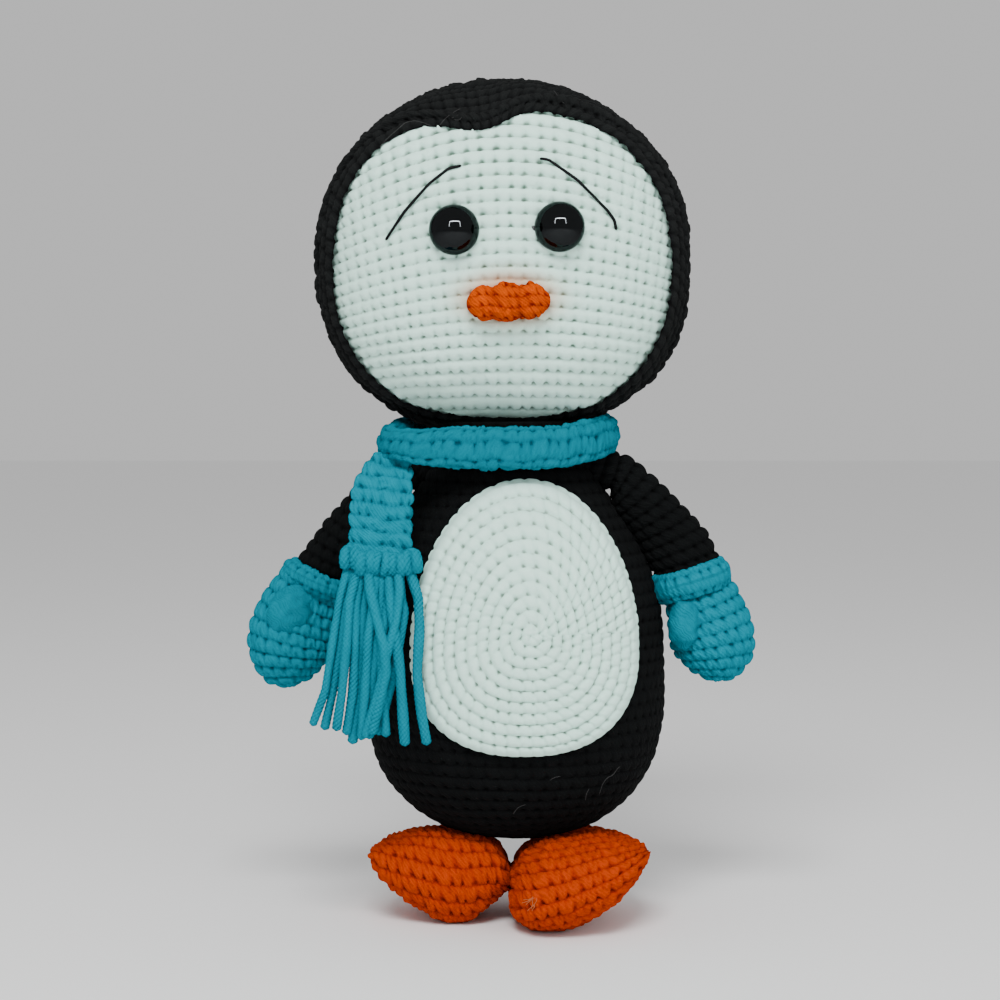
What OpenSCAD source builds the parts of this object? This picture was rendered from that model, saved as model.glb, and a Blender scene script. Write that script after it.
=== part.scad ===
// Crocheted plush penguin with a scarf and mittens.
// Millimetres. +Z is up, the face looks along -Y, +X is the toy's left-hand side
// as it is seen from the front (the viewer's right).
// The origin is on the standing surface, below the middle of the overall box.

/* [Head] */
// Half width of the white head, without the hood
head_a = 57.3; // [56:0.1:58]
// Height of the white head above its widest line
head_h = 52.6; // [51:0.1:53.2]
// How much further the chin reaches below that line
chin = 3.4; // [0:0.1:3.6]
// Half depth of the white head
head_d = 43; // [42:0.1:43.6]
// Thickness of the hood at the sides
hood_t = 2.7; // [2:0.1:4]
// Thickness of the crocheted walls
wall = 2.4; // [1.6:0.1:3]

/* [Eyes and beak] */
// Diameter of the domed safety eyes
eye_dia = 15; // [12:0.5:18]
// Length of the eye's shank behind the dome
shank_len = 13; // [9:0.5:16]
// Half length of the beak, side to side
beak_a = 13; // [10:0.5:15]
// Half height of the beak
beak_h = 5.6; // [4:0.1:7]

/* [Body] */
// Half width of the body at its widest
body_w = 49.2; // [46:0.2:50]
// Depth of the body as a share of its width
body_flat = 0.88; // [0.8:0.01:0.92]
// Thickness of the belly patch
patch_t = 2.6; // [1.5:0.1:3]

/* [Scarf] */
// Outer half width of the wrap round the neck
wrap_a = 36.5; // [35:0.1:38]
// Width of the hanging tail
tail_w = 19; // [16:0.5:21]
// Thickness of the hanging tail
tail_t = 4.6; // [3:0.1:5]
// Radius of one fringe strand
strand_r = 1.45; // [0.8:0.05:1.5]

/* [Arms and feet] */
// Half width of the sleeve at the cuff
sleeve_a = 9.6; // [8:0.1:9.8]
// Half width of the mitten at its widest
mitten_a = 13.9; // [12:0.1:14.5]
// Depth of a foot in front of its middle
foot_front = 20; // [17:0.5:22]
// Depth of a foot behind its middle
foot_back = 32; // [28:0.5:34]

/* [Hidden] */
$fn = 48;

oy = 1.6;          // moves the toy back so that its box is centred on Y = 0
hx = 1;            // centre of the head
hz = 217;
n_head = 2.4;      // roundness of the head from front to back

// ---------- helpers ----------
function spow(x, e) = sign(x) * pow(abs(x), e);
function mix(a, b, t) = a + (b - a) * t;
function clamp(x, lo, hi) = max(lo, min(hi, x));
function smooth(t) = let (u = clamp(t, 0, 1)) u * u * (3 - 2 * u);
function bez(p, t) = pow(1 - t, 3) * p[0] + 3 * pow(1 - t, 2) * t * p[1]
                   + 3 * (1 - t) * t * t * p[2] + t * t * t * p[3];
function bez_dir(p, t) = let (d = 3 * pow(1 - t, 2) * (p[1] - p[0]) + 6 * (1 - t) * t * (p[2] - p[1])
                              + 3 * t * t * (p[3] - p[2])) d / norm(d);
// one ring of k points round c, with half axes a along u and b along v
function ring(c, u, v, a, b, k, e = 1) =
    [for (j = [0:k - 1]) c + u * a * spow(cos(360 * j / k), e) + v * b * spow(sin(360 * j / k), e)];

// the faces turned the right way out, whichever way the rings run
function turned(pts, faces) = let (v = [for (f = faces) cross(pts[f[0]] - pts[0], pts[f[1]] - pts[0]) * (pts[f[2]] - pts[0])],
        total = v * [for (x = v) 1])
    total > 0 ? [for (f = faces) [f[0], f[2], f[1]]] : faces;

// closed skin through rings, from the apex p0 to the apex p1
module skin(rings, p0, p1) {
    n = len(rings);
    k = len(rings[0]);
    pts = concat([p0], [for (r = rings) each r], [p1]);
    polyhedron(
        points = pts,
        faces = turned(pts, concat(
            [for (j = [0:k - 1]) [0, 1 + (j + 1) % k, 1 + j]],
            [for (i = [0:n - 2], j = [0:k - 1]) [1 + i * k + j, 1 + i * k + (j + 1) % k, 1 + (i + 1) * k + (j + 1) % k]],
            [for (i = [0:n - 2], j = [0:k - 1]) [1 + i * k + j, 1 + (i + 1) * k + (j + 1) % k, 1 + (i + 1) * k + j]],
            [for (j = [0:k - 1]) [1 + n * k, 1 + (n - 1) * k + j, 1 + (n - 1) * k + (j + 1) % k]])),
        convexity = 6);
}

// closed loop of rings, like a tyre
module skin_loop(rings) {
    n = len(rings);
    k = len(rings[0]);
    pts = [for (r = rings) each r];
    polyhedron(
        points = pts,
        faces = turned(pts, concat(
            [for (i = [0:n - 1], j = [0:k - 1]) [i * k + j, i * k + (j + 1) % k, ((i + 1) % n) * k + (j + 1) % k]],
            [for (i = [0:n - 1], j = [0:k - 1]) [i * k + j, ((i + 1) % n) * k + (j + 1) % k, ((i + 1) % n) * k + j]])),
        convexity = 6);
}

// ---------- head ----------
// outline radius of the head seen from the front, at the angle q from +X
function sil(q, a, h) = let (c = cos(q), s = sin(q), e = s < 0 ? 2.6 : 2)
    pow(pow(abs(c / a), e) + pow(abs(s / (s < 0 ? h + chin : h)), e), -1 / e);
// how far out a point is: 1 on the head's surface
function head_f(x, y, z, a, h, d) = let (e = z < 0 ? 2.6 : 2)
    pow(pow(abs(x / a), e) + pow(abs(z / (z < 0 ? h + chin : h)), e), n_head / e) + pow(abs(y / d), n_head);
// radius of the level section at the height z, in the direction q, by halving
function head_r(z, q, a, h, d, lo = 0, hi = 80, i = 0) = i > 22 ? lo :
    let (m = (lo + hi) / 2)
    head_f(m * cos(q), m * sin(q), z, a, h, d) > 1 ? head_r(z, q, a, h, d, lo, m, i + 1)
                                                    : head_r(z, q, a, h, d, m, hi, i + 1);
// depth of the head's front surface at x, z
function head_y(x, z) = let (r = norm([x - hx, z - hz]), q = atan2(z - hz, x - hx))
    -head_d * pow(max(0.0001, 1 - pow(r / sil(q, head_a, head_h), n_head)), 1 / n_head);
function head_ring(z, a, h, d, k) =
    [for (j = [0:k - 1]) let (q = -360 * j / k, r = head_r(z, q, a, h, d)) [hx + r * cos(q), r * sin(q), hz + z]];

// height above the widest line, from 0 degrees at the crown to 180 at the lowest point
function head_z(h, q) = cos(q) * (cos(q) < 0 ? h + chin : h);

head_k = 32;
module head_skin() {
    color("white") translate([0, oy, 0]) {
        outer = [for (i = [1:11]) head_ring(head_z(head_h, 15 * i - 3 * i / 11), head_a, head_h, head_d, head_k)];
        inner = [for (i = [11:-1:1]) head_ring(head_z(head_h - wall, 15 * i - 3 * i / 11),
                    head_a - wall, head_h - wall, head_d - wall, head_k)];
        skin(concat(outer, inner), [hx, 0, hz + head_h], [hx, 0, hz + head_h - wall]);
    }
}
module head_stuffing() {
    t = wall + 0.8;
    color("ivory") translate([0, oy, 0])
        skin([for (i = [1:11]) head_ring(head_z(head_h - t, 15 * i), head_a - t, head_h - t, head_d - t, 24)],
             [hx, 0, hz + head_h - t], [hx, 0, hz - head_h - chin + t]);
}

// face opening of the hood: an egg with a lock of fabric dipping over the brow
open_c = [0.7, 208];
open_a = 53.4;
function open_g(x, z) = let (dip = 5 * exp(-pow((x + 6) / 15, 2)), up = z > open_c[1],
        b = up ? 50 - dip : 48.2, e = up ? 2.4 : 2.2)
    pow(abs((x - open_c[0]) / open_a), e) + pow(abs((z - open_c[1]) / b), e);
function open_r(q, lo = 5, hi = 70, i = 0) = i > 22 ? lo :
    let (m = (lo + hi) / 2)
    open_g(hx + m * cos(q), hz + m * sin(q)) > 1 ? open_r(q, lo, m, i + 1) : open_r(q, m, hi, i + 1);
function hood_ring(f, a, h, d, k) = [for (j = [0:k - 1])
    let (q = 360 * j / k, s = sil(q, a, h),
         w0 = asin(pow(min(0.965, open_r(q) / s), n_head / 2)), w = mix(w0, 180, f),
         r = s * pow(sin(w), 2 / n_head))
    [hx + r * cos(q), -d * spow(cos(w), 2 / n_head), hz + r * sin(q)]];
module hood() {
    k = 36;
    m = 9;
    color([0.08, 0.08, 0.09]) translate([0, oy, 0]) {
        inner = [for (i = [m:-1:0]) hood_ring(i / (m + 1), head_a + 0.9, head_h + 0.9, head_d + 0.9, k)];
        outer = [for (i = [0:m]) hood_ring(i / (m + 1), head_a + 0.9 + hood_t, head_h + 2.5, head_d + 0.7 + hood_t, k)];
        skin(concat(inner, outer),
             [hx, head_d + 0.9, hz], [hx, head_d + 0.7 + hood_t, hz]);
    }
}

// ---------- eyes, beak, brows ----------
eye_at = [[-14.1, 220.3], [18.3, 221.2]];
eye_back = -42.6;
module eye(i) {
    p = eye_at[i];
    color("black") translate([p[0], eye_back + oy, p[1]]) rotate([90, 0, 0]) {
        intersection() {
            translate([0, 0, 0.4]) sphere(d = eye_dia);
            cylinder(d = eye_dia + 2, h = eye_dia);
        }
        translate([0, 0, -shank_len]) cylinder(r = 1.6, h = shank_len + 1);
    }
}
module washer(i) {
    p = eye_at[i];
    color("dimgray") translate([p[0], eye_back + wall + 3.2 + oy, p[1]]) rotate([-90, 0, 0])
        difference() {
            union() {
                cylinder(r = 6.4, h = 1.3);
                cylinder(r = 3, h = 3);
            }
            translate([0, 0, -1]) cylinder(r = 1.65, h = 6);
        }
}
module left_eye() { eye(0); }
module right_eye() { eye(1); }
module left_eye_washer() { washer(0); }
module right_eye_washer() { washer(1); }

module beak() {
    c = [2.6, -45.4, 198.2];
    color("darkorange") translate([0, oy, 0])
        skin([for (i = [1:9]) let (x = -cos(18 * i), s = pow(1 - pow(abs(x), 3), 0.42))
                [for (j = [0:15]) let (q = 360 * j / 16)
                    [c[0] + x * beak_a, min(-42.9, c[1] - 4.2 * s * sin(q)), c[2] + beak_h * s * cos(q)]]],
             [c[0] - beak_a, -43.6, c[2]], [c[0] + beak_a, -43.6, c[2]]);
}

module brow(p) {
    r = 0.55;
    color("black") translate([0, oy, 0])
        skin([for (i = [0:10]) let (c = bez(p, i / 10), d = bez_dir(p, i / 10), y = head_y(c[0], c[1]) - 0.95)
                ring([c[0], y, c[1]], [d[1], 0, -d[0]], [0, 1, 0], r, r, 6)],
             [p[0][0], head_y(p[0][0], p[0][1]) - 0.95, p[0][1]] - [bez_dir(p, 0)[0], 0, bez_dir(p, 0)[1]] * 0.3,
             [p[3][0], head_y(p[3][0], p[3][1]) - 0.95, p[3][1]] + [bez_dir(p, 1)[0], 0, bez_dir(p, 1)[1]] * 0.3);
}
module left_brow() { brow([[-35, 218], [-28.5, 227.5], [-20, 238], [-12.5, 240]]); }
module right_brow() { brow([[13.2, 242], [21, 239.5], [32, 229], [36.3, 222.4]]); }

// ---------- body ----------
body_mid = 72;      // height of the widest round
body_low = 24.3;    // lowest point of the body
neck_z = 158;
neck_w = 25;
function body_x(z) = 5 - 2 * smooth((z - 100) / 50);
function body_up(z, w, nw) = let (s = (z - body_mid) / 88 / 0.97)
    nw + (w - nw) * (s >= 1 ? 0 : 0.5 * (1 + cos(180 * pow(s, 1.7))));
function body_half(z, t = 0) = z < body_mid
    ? (body_w - t) * pow(max(0, 1 - pow((body_mid - z) / (body_mid - body_low - t), 2.3)), 1 / 2.3)
    : body_up(z, body_w - t, neck_w - t);
// depth of the body's front surface at x, z
function body_y(x, z) = let (w = body_half(z), q = (x - body_x(z)) / w)
    -body_flat * w * sqrt(max(0, 1 - q * q));
function body_rings(t, top, k) = concat(
    [for (i = [1:7]) let (q = 90 * (1 - i / 8), z = body_mid - (body_mid - body_low - t) * pow(sin(q), 2 / 2.3))
        body_ring(z, t, k)],
    [for (i = [0:9]) body_ring(mix(body_mid, top, i / 9), t, k)]);
function body_ring(z, t, k) = let (w = body_half(z, t))
    ring([body_x(z), 0, z], [1, 0, 0], [0, 1, 0], w, body_flat * w, k);

module body_skin() {
    o = body_rings(0, neck_z, 32);
    i = body_rings(wall, neck_z, 32);
    color([0.05, 0.05, 0.06]) translate([0, oy, 0])
        skin(concat(o, [for (j = [len(i) - 1:-1:0]) i[j]]), [5, 0, body_low], [5, 0, body_low + wall]);
}
module body_stuffing() {
    color("ivory") translate([0, oy, 0])
        skin(body_rings(wall + 0.5, neck_z - 0.6, 24), [5, 0, body_low + wall + 0.5], [3, 0, neck_z - 0.3]);
}

// white egg-shaped patch, sewn on the belly
patch_c = [7.8, 88.6];
function egg(q) = let (e = sin(q) > 0 ? 2 : 2.4, b = sin(q) > 0 ? 55 : 32)
    pow(pow(abs(cos(q) / 36.7), e) + pow(abs(sin(q) / b), e), -1 / e);
function patch_ring(f, off, k) = [for (j = [0:k - 1])
    let (q = 360 * j / k, r = f * egg(q), x = patch_c[0] + r * cos(q), z = patch_c[1] + r * sin(q))
    [x, body_y(x, z) - off, z]];
module belly_patch() {
    k = 32;
    color("white") translate([0, oy, 0])
        skin(concat(
                [for (f = [0.3, 0.6, 0.85, 0.965]) patch_ring(f, 0.95 + patch_t, k)],
                [patch_ring(1, 0.95 + patch_t * 0.5, k)],
                [for (f = [0.985, 0.85, 0.6, 0.3]) patch_ring(f, 0.95, k)]),
             [patch_c[0], body_y(patch_c[0], patch_c[1]) - 0.75 - patch_t, patch_c[1]],
             [patch_c[0], body_y(patch_c[0], patch_c[1]) - 0.95, patch_c[1]]);
}

// ---------- scarf ----------
// the wrap droops at the front, where q is -90
function wrap_low(q) = 0.5 + 0.5 * sin(-q);
module scarf_wrap() {
    color("darkturquoise") translate([0, oy, 0])
        skin_loop([for (i = [0:35]) let (q = 10 * i, f = pow(wrap_low(q), 1.4),
                a = wrap_a - 4, b = 30, c = cos(q), s = sin(q), e = 0.88,
                half = 3.9 + 2.8 * f, z = 159.15 - 6.55 * f)
            ring([2 + a * spow(c, e), b * spow(s, e), z], [c, s, 0], [0, 0, -1], 3.9, half, 10, 0.85)]);
}

tail_top = [-35.3, -30, 149];
function tail_y(z) = z > 118 ? -30 - 4 * (149 - z) / 31 : -34 - 8 * smooth((118 - z) / 28);
module scarf_tail() {
    color("darkturquoise") translate([0, oy, 0])
        skin([for (i = [0:7]) let (f = i / 7, z = mix(149, 121.2, f), e = i == 0 ? 0.8 : 1)
                ring([mix(tail_top[0], -37.6, smooth(f)), tail_y(z), z], [1, 0, 0], [0, 1, 0],
                     mix(tail_w - 2.5, tail_w, smooth(f * 2)) / 2 * e, tail_t / 2 * e, 12, 0.7)],
             [tail_top[0], tail_top[1], tail_top[2] + 1.6], [-37.6, tail_y(121), 120.9]);
}
module scarf_knots() {
    color("darkturquoise") translate([0, oy, 0])
        for (i = [0:5]) translate([-47.8 + 4.15 * i, tail_y(118.5), 118.4]) sphere(r = 2, $fn = 24);
}
module strand(x0, x1, z1, dy, bow) {
    color("darkturquoise") translate([0, oy, 0])
        skin([for (i = [0:6]) let (f = i / 6, z = mix(115.9, z1, f))
                ring([mix(x0, x1, smooth(f)) + bow * sin(180 * f), tail_y(z) + dy, z], [1, 0, 0], [0, 1, 0],
                     strand_r, strand_r, 6)],
             [x0, tail_y(115.9) + dy, 116.1], [x1, tail_y(z1) + dy, z1 - 0.4]);
}
module scarf_fringe() {
    for (i = [0:6]) {
        strand(-47.6 + 3.4 * i, -57.5 + 5.6 * i, 64 - (i % 3), 0, 0);
        strand(-46 + 3.4 * i, -54.4 + 5.3 * i, 63 + (i * 2) % 3, -3.7, 0);
    }
}

// ---------- arms ----------
arm_y = -3;
// side +1 is the arm at +X, side -1 the arm at -X
function sleeve_path(side) = side > 0 ? [[39.8, 144.4], [50, 141], [59.6, 124], [64, 107.4]]
                                      : [[-35.2, 144.8], [-44, 139.5], [-54.5, 124], [-61.2, 108.5]];
function hand_path(side) = side > 0 ? [[64.5, 105.1], [67.8, 97], [71.8, 88], [71, 75.6]]
                                    : [[-62.2, 106.4], [-66.5, 99], [-71.4, 88], [-69.8, 73.9]];
function sleeve_half(side, t) = 3.4 + (sleeve_a + (side > 0 ? 0 : -0.6) - 3.4) * pow(t, 0.55);
function sleeve_deep(t) = 7 + 1.8 * t;
function hand_half(side, t) = (mitten_a + (side > 0 ? 0 : 0.8)) * (0.85 + 0.15 * sin(90 * min(1, t / 0.6)))
    * (t < 0.5 ? 1 : pow(max(0, 1 - pow((t - 0.5) / 0.5, 2.3)), 0.5));
function arm_ring(p, t, a, b, k) = let (c = bez(p, t), d = bez_dir(p, t))
    ring([c[0], arm_y, c[1]], [-d[1], 0, d[0]], [0, -1, 0], a, b, k);
sleeve_ts = [0, 0.07, 0.18, 0.34, 0.5, 0.67, 0.84, 1];
hand_ts = [0, 0.15, 0.35, 0.55, 0.7, 0.82, 0.9, 0.96];
function at(p, t) = let (c = bez(p, t)) [c[0], arm_y, c[1]];

module sleeve(side) {
    p = sleeve_path(side);
    k = 20;
    color([0.05, 0.05, 0.06]) translate([0, oy, 0])
        skin(concat([for (t = sleeve_ts) arm_ring(p, t, sleeve_half(side, t), sleeve_deep(t), k)],
                    [for (i = [7:-1:1]) let (t = sleeve_ts[i])
                        arm_ring(p, t, sleeve_half(side, t) - wall, sleeve_deep(t) - wall, k)]),
             at(p, -0.01), at(p, 0.035));
}
// open mitten: the wall runs from the tip up to the wrist and back down inside
module mitten_shell(side) {
    p = hand_path(side);
    k = 20;
    color("darkturquoise") translate([0, oy, 0])
        skin(concat([for (i = [7:-1:0]) let (t = hand_ts[i])
                        arm_ring(p, t, hand_half(side, t), hand_half(side, t) * 0.84, k)],
                    [for (i = [0:5]) let (t = hand_ts[i])
                        arm_ring(p, t, hand_half(side, t) - wall, hand_half(side, t) * 0.84 - wall, k)]),
             at(p, 0.999), at(p, 0.87));
}
module arm_stuffing(side) {
    s = sleeve_path(side);
    p = hand_path(side);
    t0 = wall + 0.4;
    k = 16;
    color("ivory") translate([0, oy, 0])
        skin(concat([for (i = [2:6]) let (t = sleeve_ts[i])
                        arm_ring(s, t, sleeve_half(side, t) - t0, sleeve_deep(t) - t0, k)],
                    [arm_ring(s, 1, sleeve_half(side, 1) - t0, sleeve_deep(1) - t0, k)],
                    [for (i = [1:4]) let (t = hand_ts[i])
                        arm_ring(p, t, hand_half(side, t) - t0, hand_half(side, t) * 0.84 - t0, k)]),
             at(s, 0.13), at(p, 0.8));
}
module cuff(side) {
    s = sleeve_path(side);
    c = bez(s, side > 0 ? 0.94 : 0.93);
    d = bez_dir(s, 0.94);
    u = [-d[1], 0, d[0]];
    a = sleeve_half(side, 1) + 0.4 + 1.2;
    b = sleeve_deep(1) + 0.4 + 1.2;
    color("turquoise") translate([0, oy, 0])
        skin_loop([for (i = [0:23]) let (q = 15 * i, r = u * cos(q) + [0, 1, 0] * sin(q))
            ring([c[0], arm_y, c[1]] + u * a * cos(q) + [0, 1, 0] * b * sin(q), r, [d[0], 0, d[1]], 1.2, 2.4, 8)]);
}
module thumb(c, tilt, a, h) {
    d = [sin(tilt), 0, cos(tilt)];
    u = [cos(tilt), 0, -sin(tilt)];
    color("turquoise") translate([0, oy, 0])
        skin([for (i = [1:5]) let (q = 30 * i)
                ring(c + d * h * cos(q), u, [0, 1, 0], a * sin(q), 3.8 * sin(q), 12)],
             c + d * h, c - d * h);
}
module left_sleeve() { sleeve(-1); }
module right_sleeve() { sleeve(1); }
module left_mitten() { mitten_shell(-1); }
module right_mitten() { mitten_shell(1); }
module left_cuff() { cuff(-1); }
module right_cuff() { cuff(1); }
module left_thumb() { thumb([-70.2, -18.4, 100.8], 35, 4.6, 7.4); }
module right_thumb() { thumb([59.6, -16.8, 95.4], 8, 4, 6.4); }
module left_arm_stuffing() { arm_stuffing(-1); }
module right_arm_stuffing() { arm_stuffing(1); }

// ---------- feet ----------
// outlines of each foot along its length q, from the inner end (-1) to the tip (+1)
left_top = [[-1, 15.5], [-0.6, 23.3], [-0.3, 26.3], [0, 28], [0.3, 28.4], [0.6, 27], [0.85, 24.5], [1, 22.5]];
left_bot = [[-1, 15.5], [-0.83, 7.5], [-0.6, 1.5], [-0.4, -1.5], [-0.1, -1.5], [0.1, 0.5], [0.3, 3.5],
            [0.5, 7.5], [0.65, 11], [0.85, 16], [1, 21.5]];
right_top = [[-1, 12.5], [-0.8, 19], [-0.6, 22.2], [-0.4, 24.4], [-0.15, 26.5], [0, 27.5], [0.25, 28],
             [0.6, 26.6], [0.85, 25], [1, 23.8]];
right_bot = [[-1, 7.5], [-0.82, 1], [-0.6, -1.5], [-0.3, -1.5], [-0.1, -0.5], [0.2, 2.5], [0.5, 6.7],
             [0.75, 13], [0.9, 18], [1, 23]];
function foot_x(side) = side > 0 ? 26.4 : -19.4;
function foot_u(side) = side > 0 ? 21.8 : 23.2;
foot_y = -14;
// the underside is a little rounder than it is deep, and flat where it stands
function foot_ring(side, q, t, k) = let (
        top = lookup(q, side > 0 ? right_top : left_top) - t,
        bot = lookup(q, side > 0 ? right_bot : left_bot),
        zc = (top + bot) / 2, hh = (top - bot) / 2,
        s = pow(max(0, 1 - pow(abs(q), 2.2)), 0.55),
        df = foot_front * s - t, db = foot_back * s - t)
    [for (j = [0:k - 1]) let (w = 360 * j / k, c = cos(w), v = sin(w),
            e = (c > 0 && v < 0) ? 2 / 3.2 : 2 / 2.2)
        [foot_x(side) + side * q * foot_u(side),
         foot_y + (c > 0 ? db : df) * spow(c, e),
         max(t, zc + hh * spow(v, e) + (v < 0 ? t * -v : 0))]];
function foot_tip(side, q, t) = [foot_x(side) + side * q * foot_u(side), foot_y,
    (lookup(q, side > 0 ? right_top : left_top) + max(0, lookup(q, side > 0 ? right_bot : left_bot))) / 2];
foot_qs = [-0.95, -0.85, -0.72, -0.58, -0.42, -0.24, -0.06, 0.12, 0.3, 0.48, 0.64, 0.78, 0.9, 0.97];
module foot_skin(side) {
    k = 24;
    color("orangered") translate([0, oy, 0])
        skin(concat([for (i = [13:-1:0]) foot_ring(side, foot_qs[i], 0, k)],
                    [for (i = [1:11]) foot_ring(side, foot_qs[i], 2, k)]),
             foot_tip(side, 1, 0), foot_tip(side, 0.83, 2));
}
module foot_stuffing(side) {
    k = 20;
    color("ivory") translate([0, oy, 0])
        skin([for (i = [10:-1:2]) foot_ring(side, foot_qs[i], 2.6, k)],
            foot_tip(side, 0.7, 2), foot_tip(side, -0.77, 2));
}
module left_foot_skin() { foot_skin(-1); }
module right_foot_skin() { foot_skin(1); }
module left_foot_stuffing() { foot_stuffing(-1); }
module right_foot_stuffing() { foot_stuffing(1); }

body_skin();
body_stuffing();
belly_patch();
scarf_wrap();
left_foot_skin();
left_foot_stuffing();
right_foot_skin();
right_foot_stuffing();
head_skin();
head_stuffing();
hood();
left_eye();
right_eye();
left_eye_washer();
right_eye_washer();
beak();
left_brow();
right_brow();
scarf_tail();
scarf_knots();
scarf_fringe();
left_sleeve();
left_mitten();
left_cuff();
left_thumb();
left_arm_stuffing();
right_sleeve();
right_mitten();
right_cuff();
right_thumb();
right_arm_stuffing();
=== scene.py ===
import math

import bpy
import numpy as np
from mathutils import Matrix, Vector


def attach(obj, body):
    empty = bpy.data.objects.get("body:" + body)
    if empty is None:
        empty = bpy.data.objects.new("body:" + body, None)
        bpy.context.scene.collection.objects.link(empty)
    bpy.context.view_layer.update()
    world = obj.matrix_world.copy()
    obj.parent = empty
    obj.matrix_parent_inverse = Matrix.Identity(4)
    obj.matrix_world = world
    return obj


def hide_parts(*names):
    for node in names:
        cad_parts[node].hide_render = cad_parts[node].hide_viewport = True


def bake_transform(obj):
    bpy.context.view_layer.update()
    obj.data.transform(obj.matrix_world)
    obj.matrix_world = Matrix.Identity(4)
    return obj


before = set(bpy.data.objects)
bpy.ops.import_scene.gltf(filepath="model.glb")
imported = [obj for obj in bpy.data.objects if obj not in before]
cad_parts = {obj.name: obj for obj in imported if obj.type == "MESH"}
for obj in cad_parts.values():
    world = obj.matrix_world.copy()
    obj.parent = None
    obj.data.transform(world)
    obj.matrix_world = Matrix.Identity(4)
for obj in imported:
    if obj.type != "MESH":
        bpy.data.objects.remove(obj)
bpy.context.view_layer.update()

MM = 0.001
OY = 1.6  # the toy's middle plane, as in the part


# ---------------------------------------------------------------- numbers
def spow(x, e):
    return np.sign(x) * np.abs(x) ** e


def smooth(t):
    u = np.clip(t, 0, 1)
    return u * u * (3 - 2 * u)


def mix(a, b, t):
    return a + (b - a) * t


def gauss(x, w):
    return np.exp(-((x / w) ** 2))


def bez(p, t):
    p = np.asarray(p, float)
    t = np.asarray(t, float)[..., None]
    return (1 - t) ** 3 * p[0] + 3 * (1 - t) ** 2 * t * p[1] + 3 * (1 - t) * t * t * p[2] + t ** 3 * p[3]


def bez_dir(p, t):
    p = np.asarray(p, float)
    t = np.asarray(t, float)[..., None]
    d = 3 * (1 - t) ** 2 * (p[1] - p[0]) + 6 * (1 - t) * t * (p[2] - p[1]) + 3 * t * t * (p[3] - p[2])
    return d / np.linalg.norm(d, axis=-1, keepdims=True)


def hash01(i, j, k=0):
    """A fixed pseudo-random number from 0 to 1 for each pair of whole numbers."""
    a = np.asarray(i).astype(np.int64).astype(np.uint64)
    b = np.asarray(j).astype(np.int64).astype(np.uint64)
    h = a * np.uint64(0x9E3779B97F4A7C15) ^ (b + np.uint64(k + 1)) * np.uint64(0xC2B2AE3D27D4EB4F)
    h ^= h >> np.uint64(29)
    h = h * np.uint64(0xBF58476D1CE4E5B9)
    h ^= h >> np.uint64(32)
    h = h * np.uint64(0x94D049BB133111EB)
    h ^= h >> np.uint64(31)
    return (h >> np.uint64(11)).astype(float) / float(1 << 53)


def noise3(p, size, seed=0):
    """Smooth noise from -1 to 1 at points p (mm), with features of about size mm."""
    q = np.asarray(p, float) / size + 1000.0
    i = np.floor(q)
    f = smooth(q - i)
    out = np.zeros(len(q))
    for dx in (0, 1):
        for dy in (0, 1):
            for dz in (0, 1):
                h = hash01((i[:, 0] + dx) * 8191 + (i[:, 1] + dy), i[:, 2] + dz, seed)
                w = np.abs(1 - dx - f[:, 0]) * np.abs(1 - dy - f[:, 1]) * np.abs(1 - dz - f[:, 2])
                out += w * (2 * h - 1)
    return out


# ---------------------------------------------------------------- meshes
def make_mesh(name, pts, tris, mat, attrs=None, uvs=None, smooth_shade=True):
    me = bpy.data.meshes.new(name)
    pts = np.ascontiguousarray(pts, float)
    tris = np.ascontiguousarray(tris, np.int32)
    me.vertices.add(len(pts))
    me.vertices.foreach_set("co", (pts * MM).astype(np.float32).ravel())
    me.loops.add(len(tris) * 3)
    me.loops.foreach_set("vertex_index", tris.ravel())
    me.polygons.add(len(tris))
    me.polygons.foreach_set("loop_start", np.arange(0, 3 * len(tris), 3, dtype=np.int32))
    me.polygons.foreach_set("use_smooth", np.full(len(tris), smooth_shade, dtype=bool))
    me.update(calc_edges=True)
    if uvs is not None:
        layer = me.uv_layers.new(name="OFBake")
        layer.data.foreach_set("uv", np.clip(uvs, 0.002, 0.998).astype(np.float32).ravel())
    for key, val in (attrs or {}).items():
        at = me.attributes.new(key, "FLOAT", "POINT")
        at.data.foreach_set("value", np.asarray(val, np.float32))
    me.materials.append(mat)
    ob = bpy.data.objects.new(name, me)
    bpy.context.scene.collection.objects.link(ob)
    return ob


def zip_rings(n, m, a0, b0, ra, rb):
    """Triangles between a ring of n points starting at index a0 and one of m points at b0, with their corner uvs."""
    k = np.arange(n)
    jb = -((n - (2 * k + 1) * m) // (2 * n))
    jb = np.clip(jb, 0, m)
    t1 = np.stack([a0 + k, a0 + (k + 1) % n, b0 + jb % m], 1)
    u1 = np.stack([k / n, (k + 1) / n, jb / m], 1)
    r1 = np.tile([ra, ra, rb], (n, 1))
    j = np.arange(m)
    ka = np.clip(((2 * j + 1) * n + m) // (2 * m), 0, n)
    t2 = np.stack([a0 + ka % n, b0 + (j + 1) % m, b0 + j], 1)
    u2 = np.stack([ka / n, (j + 1) / m, j / m], 1)
    r2 = np.tile([ra, rb, rb], (m, 1))
    return np.concatenate([t1, t2]), np.concatenate([u1, u2]), np.concatenate([r1, r2])


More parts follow.
